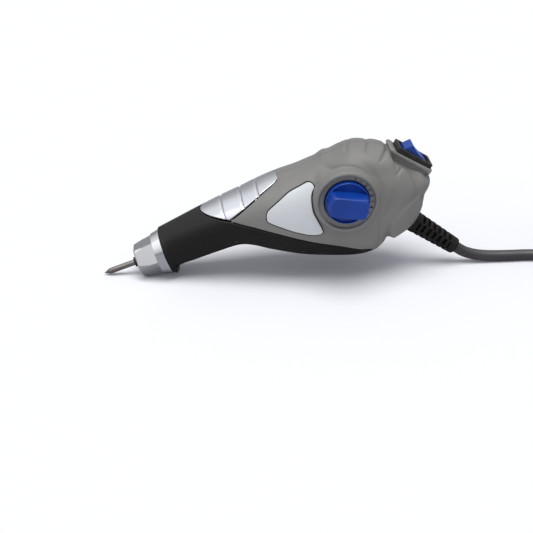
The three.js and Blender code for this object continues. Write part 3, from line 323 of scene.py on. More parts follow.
def make_object(
    name: str, sheets: list[Sheet], shift: Point = PEN_MIDDLE, inside: Point | None = None,
    crease_degrees: float = 40.0,
) -> Object:
    """Writes grids into one mesh object at the origin, facing outwards.

    Args:
        name: the object's name.
        sheets: the grids, in millimetres.
        shift: moves every point.
        inside: a point inside an open shape; a closed shape is turned by its volume instead.
        crease_degrees: edges sharper than this shade as edges.
    Returns:
        The new object.
    """
    points = np.concatenate([sheet.points.reshape(-1, 3) for sheet in sheets])
    starts = np.cumsum([0] + [sheet.points[..., 0].size for sheet in sheets[:-1]])
    faces = np.concatenate([sheet.faces() + start for sheet, start in zip(sheets, starts)])
    keys = np.round(points / WELD).astype(np.int64)
    _, first, back = np.unique(keys, axis=0, return_index=True, return_inverse=True)
    faces, source = back.reshape(-1)[faces], faces
    points = points[first]
    a, b, c, d = (points[faces[:, corner]] for corner in range(4))
    facing = np.cross(c - a, d - b)
    middle = (a + b + c + d) / 4
    if (facing * (middle if inside is None else middle - np.array(inside))).sum() < 0:
        faces, source = faces[:, ::-1], source[:, ::-1]
    keep = np.ones_like(faces, bool)
    keep[:, 1:] = faces[:, 1:] != faces[:, :-1]
    keep[:, 0] = faces[:, 0] != faces[:, 3]
    sound = (keep.sum(1) > 2) & (faces[:, 0] != faces[:, 2]) & (faces[:, 1] != faces[:, 3])
    faces, source, keep = faces[sound], source[sound], keep[sound]
    corners, totals = faces[keep], keep.sum(1)
    mesh = bpy.data.meshes.new(name)
    mesh.vertices.add(len(points))
    mesh.vertices.foreach_set("co", ((points + np.array(shift)) * MM).astype(np.float32).ravel())
    mesh.loops.add(len(corners))
    mesh.loops.foreach_set("vertex_index", corners.astype(np.int32))
    mesh.polygons.add(len(totals))
    mesh.polygons.foreach_set("loop_start", (np.cumsum(totals) - totals).astype(np.int32))
    mesh.polygons.foreach_set("loop_total", totals.astype(np.int32))
    mesh.polygons.foreach_set("use_smooth", np.ones(len(totals), bool))
    if all(sheet.uv is not None for sheet in sheets):
        uv = np.concatenate([sheet.uv.reshape(-1, 2) for sheet in sheets])[source[keep]]
        mesh.uv_layers.new(name="along")
        mesh.uv_layers["along"].data.foreach_set("uv", uv.astype(np.float32).ravel())
    mesh.update(calc_edges=True)
    mesh.validate()
    mesh.set_sharp_from_angle(angle=math.radians(crease_degrees))
    return link_object(name, mesh)


def link_object(name: str, data: bpy.types.ID) -> Object:
    """A new object with the given data, in the scene.

    Args:
        name: its name.
        data: its mesh, lamp or camera.
    Returns:
        The object.
    """
    made = bpy.data.objects.new(name, data)
    bpy.context.scene.collection.objects.link(made)
    return made


def dress(made: Object, finish: "Finish") -> None:
    """Gives an object, new or packed, its one material."""
    made.data.materials.clear()
    made.data.materials.append(finish.material())


def fit_out(made: Object, body: str, slot: str, finish: "Finish", *stands_for: str) -> Object:
    """Gives a piece its finish, its body and the nodes that it stands for.

    Args:
        made: the piece.
        body: the body that it rides on.
        slot: the record's material slot; not used.
        finish: the surface finish.
        stands_for: nodes that it replaces.
    Returns:
        The same piece.
    """
    dress(made, finish)
    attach(made, body)
    if stands_for:
        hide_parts(*stands_for)
    LOG.info("%s: %d faces on %s", made.name, len(made.data.polygons), body)
    return made


def add_piece(
    name: str, sheet: Sheet, body: str, slot: str, finish: "Finish", *stands_for: str, **shape: object
) -> Object:
    """One grid made an object and fitted out; shape goes on to make_object."""
    return fit_out(make_object(name, [sheet], **shape), body, slot, finish, *stands_for)


# ---------------------------------------------------------------- finishes

def linear(code: str) -> tuple[float, float, float, float]:
    """An sRGB hex colour as linear light with full opacity."""
    parts = [int(code[i : i + 2], 16) / 255 for i in (0, 2, 4)]
    return tuple(v / 12.92 if v <= 0.04045 else ((v + 0.055) / 1.055) ** 2.4 for v in parts) + (1.0,)


def empty_tree(owner: bpy.types.Material | bpy.types.World) -> Tree:
    """The node tree of a material or a world, without its first nodes.

    Args:
        owner: the material or world.
    Returns:
        The empty tree.
    """
    owner.use_nodes = True
    owner.node_tree.nodes.clear()
    return owner.node_tree


def add_node(
    tree: Tree, kind: str, sockets: dict | None = None, out: int | str = 0, **settings: object
) -> Socket | None:
    """Adds a node, sets its settings, and fills or links its sockets.

    Args:
        tree: the node tree.
        kind: the node's type name after its first word.
        sockets: socket names or numbers with a value, or with the output that feeds them.
        out: the output that is wanted.
        settings: the node's own settings.
    Returns:
        That output, if the node has any.
    """
    node = tree.nodes.new("ShaderNode" + kind)
    for name, value in settings.items():
        setattr(node, name, value)
    for name, value in (sockets or {}).items():
        if isinstance(value, Socket):
            tree.links.new(value, node.inputs[name])
        else:
            node.inputs[name].default_value = value
    return node.outputs[out] if len(node.outputs) else None


class Pattern(Enum):
    """How a finish's fine pattern runs, and how closely it is packed along x, y and z."""

    GRAIN = ("even grain", (1, 1, 1))
    TURNED = ("fine rings square to x", (1, 0.06, 0.06))
    BRUSHED = ("fine lines along x", (0.05, 1, 1))
    WOUND = ("turns of wire", (1, 0.05, 0.05))
    SLEEVED = ("sleeve on the first length of a pin", (1, 1, 1))


@dataclass(frozen=True)
class Finish:
    """One real surface, from which its material is made.

    The colour drifts to a second colour over mottle_mm, the grain lifts the surface by grain_depth_mm at
    every grain_mm, the roughness swings with it, and outward edges lighten to a colour by a share: wear, and
    on the rubber also a painted highlight along its rolled edges.
    """

    name: str
    colour: str
    second: str
    roughness: float
    swing: float
    mottle_mm: float
    grain_mm: float
    grain_depth_mm: float
    metallic: float = 0.0
    ior: float | None = None
    # Lighter colour and its share on outward edges: wear, and on the rubber also a painted highlight.
    edge_wear_and_highlight: tuple[str, float] | None = None
    coat: float = 0.0
    pattern: Pattern = Pattern.GRAIN

    def material(self) -> bpy.types.Material:
        """The material, made once.

        Returns:
            The new material, or the one made before.
        """
        known = bpy.data.materials.get(self.name)
        if known:
            return known
        made = bpy.data.materials.new(self.name)
        tree = empty_tree(made)
        place = add_node(tree, "TexCoord", out="Object")
        mottle = {"Vector": place, "Scale": 1 / (self.mottle_mm * MM), "Detail": 4.0, "Roughness": 0.6}
        drift = add_node(tree, "TexNoise", mottle, "Fac")
        spread = add_node(tree, "MapRange", {"Value": drift, "From Min": 0.35, "From Max": 0.65})
        tones = {0: spread, 6: linear(self.colour), 7: linear(self.second)}
        colour = add_node(tree, "Mix", tones, 2, data_type="RGBA")
        fine = self.fine(tree, place)
        if self.pattern is Pattern.SLEEVED:
            colour = self.sleeve(tree, place, colour)
        # Outward edges lighten: wear, and on the rubber also a painted highlight.
        if self.edge_wear_and_highlight:
            colour = self.wear_and_highlight_edges(tree, place, colour)
        swing = {"To Min": self.roughness - self.swing, "To Max": self.roughness + self.swing}
        sockets = {
            "Base Color": colour, "Metallic": self.metallic, "Coat Weight": self.coat,
            "Roughness": add_node(tree, "MapRange", {"Value": fine, "From Min": 0.3, "From Max": 0.7, **swing}),
            "Normal": add_node(tree, "Bump", {"Height": fine, "Distance": self.grain_depth_mm * MM, "Strength": 1.0}),
        }
        if self.ior:
            sockets["IOR"] = self.ior
        add_node(tree, "OutputMaterial", {"Surface": add_node(tree, "BsdfPrincipled", sockets)})
        return made

    def fine(self, tree: Tree, place: Socket) -> Socket:
        """The fine pattern's height, from 0 to 1.

        Args:
            tree: the node tree.
            place: where the surface is read.
        Returns:
            The height's output.
        """
        scale = tuple(part / (self.grain_mm * MM) for part in self.pattern.value[1])
        scaled = add_node(tree, "Mapping", {"Vector": place, "Scale": scale})
        if self.pattern is Pattern.WOUND:
            return add_node(tree, "TexWave", {"Vector": scaled, "Scale": 0.3}, "Fac")
        return add_node(tree, "TexNoise", {"Vector": scaled, "Scale": 1.0, "Detail": 3.0}, "Fac")

    def wear_and_highlight_edges(self, tree: Tree, place: Socket, colour: Socket) -> Socket:
        """Lighter colour where the surface bends outwards, broken up by a patchy noise: rubbed edges, and on the rubber
        also a painted highlight along its rolled edges.

        Args:
            tree: the node tree.
            place: where the surface is read.
            colour: the colour away from the edges.
        Returns:
            The colour's output, lighter on the edges.
        """
        bend = add_node(tree, "NewGeometry", out="Pointiness")
        edge = add_node(tree, "MapRange", {"Value": bend, "From Min": 0.515, "From Max": 0.6})
        patches = add_node(tree, "TexNoise", {"Vector": place, "Scale": 1 / (4 * MM), "Detail": 5.0}, "Fac")
        limits = {"Value": patches, "From Min": 0.4, "From Max": 0.65, "To Max": self.edge_wear_and_highlight[1]}
        both = add_node(tree, "Math", {0: edge, 1: add_node(tree, "MapRange", limits)}, operation="MULTIPLY")
        return add_node(tree, "Mix", {0: both, 6: colour, 7: linear(self.edge_wear_and_highlight[0])}, 2, data_type="RGBA")

    def sleeve(self, tree: Tree, place: Socket, colour: Socket) -> Socket:
        """Black insulation over a pin's first length, which is where x is still small.

        Args:
            tree: the node tree.
            place: where the surface is read.
            colour: the bare pin's colour.
        Returns:
            The pin's colour, bare and sleeved.
        """
        along = add_node(tree, "SeparateXYZ", {0: place})
        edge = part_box("plug_pin_1")[0].x + PIN_SLEEVE
        bare = add_node(tree, "Math", {0: along, 1: edge}, operation="GREATER_THAN")
        return add_node(tree, "Mix", {0: bare, 6: linear("1b1a1c"), 7: colour}, 2, data_type="RGBA")


# ABS moulded against a spark-eroded tool: even fine texture that spreads highlights wide.
HOUSING = Finish("moulded_grey_abs", "7c7b77", "767571", 0.56, 0.04, 30, 0.55, 0.016, ior=1.52, edge_wear_and_highlight=("9b9a95", 0.45))
# Thermoplastic rubber, soft and matt; its lighter edge colour is partly rubbed wear and partly a painted highlight
# where rolled edges, such as the grip's upper edge, catch the overhead light.
RUBBER = Finish("moulded_black_rubber", "1a1817", "161413", 0.54, 0.05, 18, 0.7, 0.02, ior=1.32, edge_wear_and_highlight=("5c5a58", 0.8))
# Aluminium-loaded paint on plastic under a clear coat: bright, with broad soft reflections.
SILVER = Finish(
    "silver_painted_abs", "c9cbd1", "c5c7ce", 0.26, 0.015, 22, 0.25, 0.0012, 0.9, edge_wear_and_highlight=("e8e9ec", 0.3), coat=0.3
)
# Zinc casting with a satin chrome plate: clear, slightly milky reflections.
SATIN_CHROME = Finish("satin_chromed_zinc", "cfd0d4", "cacbcf", 0.2, 0.02, 20, 0.3, 0.0012, 1.0)
# Bare polycarbonate plate with a satin face.
BADGE = Finish("satin_polycarbonate_plate", "ced1d2", "c8cccd", 0.34, 0.04, 16, 0.3, 0.004, ior=1.58)
# Pigmented ABS with a finer polish than the housing.
BLUE = Finish("moulded_blue_abs", "073c98", "06368c", 0.34, 0.04, 12, 0.4, 0.005, ior=1.42, edge_wear_and_highlight=("4a74cf", 0.5))
# Glass-filled nylon: near black with a faint sparkle.
BLACK = Finish("moulded_black_nylon", "1c1a1a", "161414", 0.42, 0.06, 7, 0.4, 0.01, ior=1.42, edge_wear_and_highlight=("4c4a49", 0.5))
# Plasticised vinyl, extruded: smooth, slightly waxy, with faint dust.
VINYL = Finish("extruded_black_vinyl", "3a3639", "322f32", 0.36, 0.06, 11, 0.9, 0.012, ior=1.53)
# Hardened carbon steel, centreless ground.
GROUND_STEEL = Finish("ground_tool_steel", "8f8b88", "767270", 0.2, 0.04, 5, 0.2, 0.004, 1.0, pattern=Pattern.TURNED)
# Turned mild steel with a light oil film.
STEEL = Finish("turned_mild_steel", "97999c", "85878a", 0.33, 0.07, 7, 0.25, 0.006, 1.0, pattern=Pattern.TURNED)
# Stack of silicon-steel sheets: fine dark lines between the sheets.
LAMINATION = Finish(
    "laminated_silicon_steel", "6f7276", "4f5256", 0.45, 0.08, 6, 0.5, 0.02, 0.9, pattern=Pattern.BRUSHED
)
# Sintered tin bronze, oil-filled.
BRONZE = Finish("sintered_bronze", "a87b45", "8f6537", 0.42, 0.08, 4, 0.3, 0.012, 1.0)
# Enamelled copper wire, wound in even layers.
COPPER = Finish(
    "enamelled_copper_wire", "b4622c", "94481d", 0.3, 0.06, 5, 0.5, 0.08, 0.9, coat=0.4, pattern=Pattern.WOUND
)
# Natural polyamide: milky, warm white.
NYLON = Finish("natural_nylon", "d8d2c3", "cdc6b5", 0.45, 0.05, 7, 0.4, 0.01, ior=1.53)
# Nickel-plated brass pins with a moulded sleeve at their root.
PIN = Finish("nickelled_brass_pin", "c9c5b8", "b9b4a5", 0.24, 0.05, 4, 0.3, 0.004, 1.0, pattern=Pattern.SLEEVED)
# Painted shade: a dull black that stands for the shade at the bottom of a narrow gap.
GAP_SHADE = Finish("painted_gap_shade", "131313", "0e0e0e", 0.8, 0.05, 3, 0.3, 0.01)


# ---------------------------------------------------------------- the housing's form

@dataclass(frozen=True)
class Crease:
    """A line on the shell where two lobes meet.

    Each point is (x, y, z, depth, width): the groove's depth and width there. The left of travel is raised
    by rise and the right is sunk by sink, both fading over reach.
    """

    points: Table
    rise: float = 0.0
    sink: float = 0.0
    reach: float = 8.0

    def height(self, places: Array) -> Array:
        """Height added: a bell-shaped groove plus the step between the two lobes.

        Args:
            places: points, n by 3.
        Returns:
            The height at each of them.
        """
        table = np.array(self.points)
        distance, along, side = line_distance(places, table[:, :3])
        depth, width = (np.interp(along, np.arange(len(table)), table[:, column]) for column in (3, 4))
        strength = depth / max(table[:, 3].max(), 1e-6)
        groove = -depth * bell(distance / width)
        fade = (1 - ease(distance / self.reach)) * strength
        edge = ease(distance / (1.6 * width))
        step = np.where(side > 0, self.rise, -self.sink) * fade * edge
        return groove + step


@dataclass(frozen=True)
class Shell:
    """The housing's outer form: superellipse sections strung between a top and a bottom line.

    At share u along, the section's middle and reach lie in x and z, and at angle a round from the top the
    point is middle + reach * C, with C = cos(a)^(2/p) and y = -half * sin(a)^(2/p), both with their signs.
    """

    length: float = 144.0
    height: float = 71.0
    half_width: float = 23.2
    start_x: float = -65.935
    start_z: float = -0.025
    rungs: Table = (
        (-0.0034, 0.351, 0.054, 0.031, 0.522, 2.0),
        (0.025, 0.382, 0.075, 0.086, 0.483, 2.05),
        (0.076, 0.434, 0.141, 0.139, 0.534, 2.1),
        (0.151, 0.508, 0.215, 0.201, 0.612, 2.2),
        (0.233, 0.586, 0.293, 0.259, 0.707, 2.25),
        (0.304, 0.649, 0.344, 0.258, 0.784, 2.3),
        (0.383, 0.727, 0.413, 0.218, 0.871, 2.3),
        (0.487, 0.814, 0.519, 0.172, 0.957, 2.3),
        (0.607, 0.94, 0.606, 0.151, 1.0, 2.3),
        (0.704, 1.0, 0.719, 0.144, 1.0, 2.3),
        (0.791, 0.99, 0.787, 0.175, 0.957, 2.3),
        (0.865, 0.944, 0.851, 0.261, 0.879, 2.3),
        (0.924, 0.873, 0.903, 0.317, 0.776, 2.3),
        (0.969, 0.81, 0.944, 0.38, 0.647, 2.3),
        (0.995, 0.739, 0.969, 0.437, 0.474, 2.2),
        (0.997, 0.662, 0.983, 0.493, 0.26, 2.1),
    )

    def spots(self, shares: Array) -> Array:
        """Side-view places, x and z, of shares of the length and the height."""
        return shares * (self.length, self.height) + (self.start_x, self.start_z)

    def side_line(self, shares: Table, count: int = 400) -> Array:
        """A side-view line given in shares of length and height, as closely spaced x and z."""
        return catmull(self.spots(np.array(shares)), np.linspace(0, 1, count))

    def section(self, u: Array) -> tuple[Array, Array, Array, Array]:
        """Middle (x, z), reach (x, z), half width and power at shares u.

        Args:
            u: shares along.
        Returns:
            The four, each with the shape of u.
        """
        table = catmull(np.array(self.rungs), u)
        top, bottom = self.spots(table[..., 0:2]), self.spots(table[..., 2:4])
        return (top + bottom) / 2, (top - bottom) / 2, table[..., 4] * self.half_width, table[..., 5]

    def at(self, u: Array, a: Array) -> Array:
        """Points at shares u and angles a, where a above 0 is the dial side.

        Args:
            u: shares along.
            a: angles from the top.
        Returns:
            The points.
        """
        middle, reach, half, power = self.section(u)
        rise = signed_power(np.cos(a), 2 / power)
        flat = middle + reach * rise[..., None]
        y = -half * signed_power(np.sin(a), 2 / power)
        return np.stack([flat[..., 0], y, flat[..., 1]], -1)

    def normal(self, u: Array, a: Array) -> Array:
        """Outward directions: the change along u crossed with the section's tangent.

        Args:
            u: shares along.
            a: angles from the top.
        Returns:
            Vectors of length one.
        """
        middle, reach, half, power = self.section(u)
        size = np.linalg.norm(reach, axis=-1)
        up = signed_power(np.cos(a), 2 - 2 / power) / size
        out = -signed_power(np.sin(a), 2 - 2 / power) / half
        line = reach / size[..., None]
        tangent = np.stack([-line[..., 0] * out, up, -line[..., 1] * out], -1)
        step = 1e-3
        low, high = np.clip(u - step, 0, 1), np.clip(u + step, 0, 1)
        along = self.at(high, a) - self.at(low, a)
        facing = unit(np.cross(tangent, along))
        centre = np.stack([middle[..., 0], 0 * half, middle[..., 1]], -1)
        turn = np.sign(((self.at(u, a) - centre) * facing).sum(-1, keepdims=True))
        return facing * turn

    def angle(self, rise: Array, u: Array) -> Array:
        """The angle whose rise is given, from the top (1) to the bottom (-1)."""
        power = self.section(u)[3]
        return np.arccos(np.clip(signed_power(rise, power / 2), -1, 1))

    def crossing(self, u: Array, beyond: Callable[[Array, Array], Array]) -> Array:
        """The first rise, from the top down, at which beyond(x, z) is true, or -1 where it never is.

        Args:
            u: the sections' shares.
            beyond: tells for side-view places whether they are past a line.
        Returns:
            The rise on each section.
        """
        middle, reach, _, _ = self.section(u)
        rise = np.linspace(1, -1, 1601)
        flat = middle[:, None] + reach[:, None] * rise[None, :, None]
        past = beyond(flat[..., 0], flat[..., 1])
        first = past.argmax(1)
        return np.where(past.any(1), rise[first], -1.0)

    def locate(self, x: Array, z: Array) -> tuple[Array, Array]:
        """The section on which side-view places lie, by halving the range of u.

        Args:
            x, z: the places.
        Returns:
            Their shares u and their angles a.
        """
        low, high = np.zeros_like(x), np.ones_like(x)
        for _ in range(30):
            u = (low + high) / 2
            middle, reach, _, _ = self.section(u)
            ahead = (x - middle[..., 0]) * reach[..., 1] - (z - middle[..., 1]) * reach[..., 0] > 0
            low, high = np.where(ahead, u, low), np.where(ahead, high, u)
        u = (low + high) / 2
        middle, reach, _, _ = self.section(u)
        offset = np.stack([x, z], -1) - middle
        rise = (offset * reach).sum(-1) / (reach * reach).sum(-1)
        return u, self.angle(rise, u)

    def patch(
        self, u: Array, first: Array, last: Array, rows: int, insets: tuple[Array, Array]
    ) -> tuple[Array, Array, Array]:
        """Angles for a patch between two border angles, spaced by length along each section.

        Args:
            u: the sections' shares.
            first, last: border angles of each section.
            rows: how many rows fill the middle.
            insets: how far the patch stops short of each border on each section, in millimetres.
        Returns:
            Angles, distance from the first border and distance from the last, sections by rows.
        """
        share = np.linspace(0, 1, 241)
        angles = first[:, None] + (last - first)[:, None] * share
        points = self.at(np.broadcast_to(u[:, None], angles.shape), angles)
        run = np.cumsum(np.linalg.norm(np.diff(points, axis=1), axis=-1), axis=1)
        run = np.concatenate([np.zeros((len(u), 1)), run], 1)
        total = run[:, -1:]
        lip = np.array([0, 0.03, 0.09, 0.18, 0.3, 0.45, 0.65, 0.9, 1.2, 1.6])
        before, after = (np.minimum(np.broadcast_to(inset, u.shape)[:, None], total / 6) for inset in insets)
        scale = np.minimum(1.0, (total - before - after) / (3 * lip[-1]))
        near = before + lip * scale
        far = total - after - lip[::-1] * scale
        fill = np.linspace(0, 1, rows + 2)[1:-1]
        middle = near[:, -1:] + (far[:, :1] - near[:, -1:]) * fill
        wanted = np.concatenate([near, middle, far], 1)
        angle = row_interpolate(wanted, run, np.broadcast_to(angles, run.shape))
        return angle, wanted - before, total - after - wanted


def rolled(distance: Array, radius: Array) -> Array:
    """How far a rounded edge of the given radius has dropped at a distance from its border."""
    inner = np.clip(radius - distance, 0, radius)
    return radius - np.sqrt(np.maximum(radius**2 - inner**2, 0))


@dataclass
class OuterSkins:
    """The grey shell, the black grip, the silver inlay and the badge, all laid on one form."""

    shell: Shell = Shell()
    skin: float = 1.3
    gap: float = 0.3
    seam_gap: float = 0.06
    seam_radius: float = 0.1
    border_radius: float = 0.5
    grip_radius: float = 0.8
    inlay_radius: float = 0.45
    crown: float = 1.5
    back_lift: float = 1.25
    rear_sink: float = 2.85
    neck_sink: float = 1.9
    highest: float = 1.9
    # Where the crown, the hollow rear and the sunk neck lie; the neck's share and span of easing at its rear.
    crown_window: Table = ((0, 24, 34), (0, 57, 54), (2, 60, 67))
    rear_window: Table = ((2, 53.4, 44.4), (2, 18, 40), (0, 58, 74))
    neck_window: Table = ((0, 52, 58), (2, 48, 54))
    neck_easing: Point = (0.7, 66, 72)
    # Distances from the collar's outline over which the sunk neck fades.
    neck_reach: tuple[float, float] = (2.0, 6.5)
    # Depth, radius and width of the hollow ring round the dial's seat.
    moat: Point = (0.5, 18.4, 1.7)
    dial_centre: tuple[float, float] = (30.11, 49.75)
    # Distances from the dial's axis at which its recess starts and is full, and the recess's floor.
    recess: Point = (13.6, 12.7, -19.6)
    switch: Axes = SWITCH_AXES
    # Half of the switch's collar, by which the neck's distance is measured, and half of the opening in it.
    collar: tuple[float, float] = (10.5, 6.8)
    opening: tuple[float, float] = (10.2, 6.3)
    opening_lip: float = 0.8
    opening_top: float = -9.0
    opening_floor: float = -15.6
    # The grip's foot: its depth, where it starts and is full along the pen, and round it from the top.
    foot: float = 1.5
    foot_along: tuple[float, float] = (0.0335, 0.0305)
    foot_round: tuple[float, float] = (2.1, 2.5)
    # The inlay's grooves: where they cross the level groove_level, how they lean, their depth and width.
    grooves: Point = (0.245, 0.327, 0.395)
    groove_level: float = 35.5
    groove_lean: float = 0.38
    groove_depth: float = 0.6
    groove_width: float = 0.55
    grip_edge: Table = (
        (-0.3, 0.513), (0.257, 0.513), (0.29, 0.5), (0.326, 0.483), (0.363, 0.465), (0.431, 0.428),
        (0.502, 0.387), (0.576, 0.346), (0.655, 0.308), (0.728, 0.262), (0.775, 0.244), (0.799, 0.15),
    )
    inlay_rear: Table = (
        (0.257, 0.513), (0.319, 0.604), (0.378, 0.692), (0.428, 0.755), (0.436, 0.775), (0.436, 0.82),
        (0.436, 0.9), (0.436, 1.3),
    )
    badge_rings: int = 40
    badge_edge: Table = (
        (0.387, 0.57), (0.391, 0.596), (0.402, 0.62), (0.438, 0.676), (0.47, 0.725), (0.505, 0.766),
        (0.534, 0.8), (0.549, 0.797), (0.555, 0.778), (0.548, 0.75), (0.544, 0.715), (0.545, 0.66),
        (0.551, 0.605), (0.566, 0.545), (0.584, 0.47), (0.583, 0.444), (0.566, 0.432), (0.538, 0.433),
        (0.505, 0.448), (0.47, 0.468), (0.435, 0.494), (0.408, 0.515), (0.39, 0.535),
    )
    folds: tuple[Crease, ...] = (
        # The upper lobe's rounded front, a rise, and three short folds behind it that cross the top.
        Crease(((19.4, -5, 66.2, 0, 2.6), (19.7, 0, 67.1, -0.9, 2.9), (20.3, 7, 66.2, -1.2, 3.1),
                (20.7, 13, 62.8, 0, 2.6))),
        Crease(((30.6, -9.3, 68.4, 0, 0.8), (32, -4, 70.1, 0.8, 0.9), (34.5, 5.2, 70.4, 1.2, 1.1),
                (36, 11, 68, 0, 0.9)), sink=0.3, reach=6),
        Crease(((40.7, -10.8, 68.7, 0, 0.8), (42.3, -7, 70.2, 0.8, 0.9), (44, 1.1, 70.9, 1.2, 1.1),
                (44.2, 8.1, 69.6, 1.2, 1.1), (44.3, 12, 67, 0, 0.9)), sink=0.3, reach=6),
        Crease(((46.9, -14.5, 65.1, 0, 0.8), (49.3, -11.7, 66.9, 0.8, 0.9), (51.4, -7.7, 68.4, 1.2, 1.0),
                (53.1, -2.7, 69, 1.8, 1.1), (53.9, 7.3, 67.8, 1.8, 1.1), (54, 12, 65.5, 0, 0.9)),
               sink=0.5, reach=7),
    )
    creases: tuple[Crease, ...] = (
        Crease(((60.2, -11.1, 63.3, 0.2, 0.8), (59.2, -13.4, 62, 0.6, 0.8), (57.2, -15.7, 60.5, 0.4, 0.8),
                (55.6, -17.2, 59, 0, 0.8)), reach=5),
        # The front lobe's edge over the sunk panel under the switch.
        Crease(((67.8, -16.6, 47.2, 0.1, 0.9), (67.6, -16.6, 49.4, 0.35, 0.9), (67.1, -15.8, 52.6, 0.4, 0.9),
                (66, -14.6, 55.7, 0.4, 0.9), (64.2, -13.2, 58.9, 0.4, 0.9), (62, -11.6, 61.9, 0.5, 0.9),
                (60.4, -11.2, 63.1, 0.6, 1.0), (58.7, -10.8, 64.3, 0.5, 1.0), (55.6, -8.9, 66.6, 0.4, 1.0),
                (54, -5, 68.3, 0.3, 1.0), (53.4, 0, 69, 0.1, 1.0)), rise=0.2, sink=1.4, reach=10),
        # The lower rear lobe beside the lead, whose edge is crisp at both ends and soft between.
        Crease(((73.9, 0, 41.8, 1.3, 1.3), (72.4, -9, 44.8, 1.3, 1.3), (70.7, -14.8, 47.6, 1.1, 1.0),
                (68.6, -16.2, 46.9, 0.9, 1.1), (65.6, -17.6, 45.9, 0.7, 1.5), (63, -18.8, 44.4, 0.7, 1.8),
                (60.3, -19.6, 42.5, 0.7, 1.9), (57.9, -20.2, 40, 0.7, 1.9), (55.9, -20.4, 37.1, 0.8, 1.8),
                (54.2, -20.2, 33.4, 1.0, 1.5), (53.6, -19.3, 29.2, 1.5, 1.3), (53.5, -17.8, 25.9, 2.3, 1.4),
                (54.4, -15, 23.7, 2.8, 1.5), (55.4, -12, 21.5, 2.8, 1.6), (57, 0, 18.4, 2.0, 1.7)),
               rise=0.7, sink=1.4, reach=9),
        # The broad valley that sweeps round the dial's rear.
        Crease(((35.3, -19.9, 22.3, 0, 2.8), (39.3, -20.9, 25.5, 0.7, 3), (43.2, -21.6, 29.3, 1.2, 3.4),
                (47.1, -21.9, 34, 1.5, 3.6), (50.6, -21.7, 39.1, 1.6, 3.6), (53.7, -21.2, 44.3, 1.6, 3.2),
                (55.1, -20.7, 48.4, 1.0, 3.0), (54.4, -20.2, 51.9, 0.4, 2.6), (52.5, -20.3, 53.4, 0, 2.4))),
        # The crescent hollow under the upper lobe, ahead of the dial.
        Crease(((17.8, -7.5, 64.3, 0, 1.8), (19.4, -9.8, 64, 0.7, 2.2), (21.2, -12, 63.5, 1.2, 2.5),
                (24, -14.4, 62.7, 1.4, 2.5), (28.4, -16.5, 62.3, 1.0, 2.3), (33.5, -17, 63, 0.4, 2.1),
                (38, -17, 63.4, 0, 2))),
        Crease(((13.6, -16.6, 56.3, 0, 0.9), (15, -14.4, 59.1, 0.35, 0.9), (17.6, -13.4, 61.2, 0, 0.9))),
    )

    def from_dial(self, places: Array) -> Array:
        """Side-view distance from the dial's axis."""
        return np.hypot(places[..., 0] - self.dial_centre[0], places[..., 2] - self.dial_centre[1])

    def relief(self, places: Array) -> Array:
        """Height of the lobes and creases: the sides mirror each other, the folds cross the top.

        The crown over the rear half, the hollow rear and the sunk neck round the switch are smooth windows
        in x, z and in the distance from the switch's outline.

        Args:
            places: points on the strung form.
        Returns:
            The height at each of them.
        """
        flat = places.reshape(-1, 3)
        near = flat * (1, 0, 1) - np.abs(flat) * (0, 1, 0)
        height = self.crown * window(flat, self.crown_window)
        height = height + sum(fold.height(flat) for fold in self.folds)
        height += sum(crease.height(near) for crease in self.creases)
        depth, radius, width = self.moat
        height -= depth * bell((self.from_dial(flat) - radius) / width)
        local = np.abs(self.switch.local(flat))
        outside = np.maximum(local[:, 0] - self.collar[0], local[:, 1] - self.collar[1])
        share, start, full = self.neck_easing
        behind = window(flat, self.neck_window) * (1 - share * ramp(flat[:, 0], start, full))
        height -= self.neck_sink * (1 - ramp(outside, *self.neck_reach)) * behind
        height -= self.rear_sink * window(flat, self.rear_window)
        return np.minimum(height, self.highest).reshape(places.shape[:-1])

    def back(self, places: Array, angle: Array) -> Array:
        """How much fuller the front half's back is than the strung sections, at places and angles."""
        return self.back_lift * (1 - ramp(places[..., 0], -2, 13)) * ease(np.cos(angle) / 0.8)

    def sunk(self, places: Array) -> Array:
        """Places with the dial's recess and the switch's opening pushed in under the pieces that line them.

        Args:
            places: points on the dressed shell.
        Returns:
            The moved points.
        """
        moved, y = places.copy(), places[..., 1]
        start, full, floor = self.recess
        pushed = np.where(y < 0, ramp(self.from_dial(places), start, full), 0)
        moved[..., 1] = y * (1 - pushed) + np.maximum(y, floor) * pushed
        local = self.switch.local(places)
        inside = (np.array(self.opening) - np.abs(local[..., :2])).min(-1)
        share = ease(inside / self.opening_lip) * (local[..., 2] > self.opening_top)
        local[..., 2] = local[..., 2] * (1 - share) + np.minimum(local[..., 2], self.opening_floor) * share
        return np.where(share[..., None] > 0, self.switch.out(local), moved)

    def borders(self, u: Array) -> tuple[Array, Array]:
        """Where the skins meet.

        Args:
            u: the sections' shares.
        Returns:
            The angles at which the inlay ends and the grip begins, on each section.
        """
        grip = self.shell.side_line(self.grip_edge[1:])
        rear = self.shell.side_line(self.inlay_rear)

        def in_grip(x: Array, z: Array) -> Array:
            """Below the grip's upper edge, which stops at its rear end."""
            edge = np.interp(x, grip[:, 0], grip[:, 1], left=grip[0, 1], right=-1e3)
            return z < edge

        def past_inlay(x: Array, z: Array) -> Array:
            """Behind the inlay's rear edge or in the grip."""
            return (x > np.interp(z, rear[:, 1], rear[:, 0])) | in_grip(x, z)

        grip_rise = self.shell.crossing(u, in_grip)
        inlay_rise = self.shell.crossing(u, past_inlay)
        return self.shell.angle(inlay_rise, u), self.shell.angle(grip_rise, u)

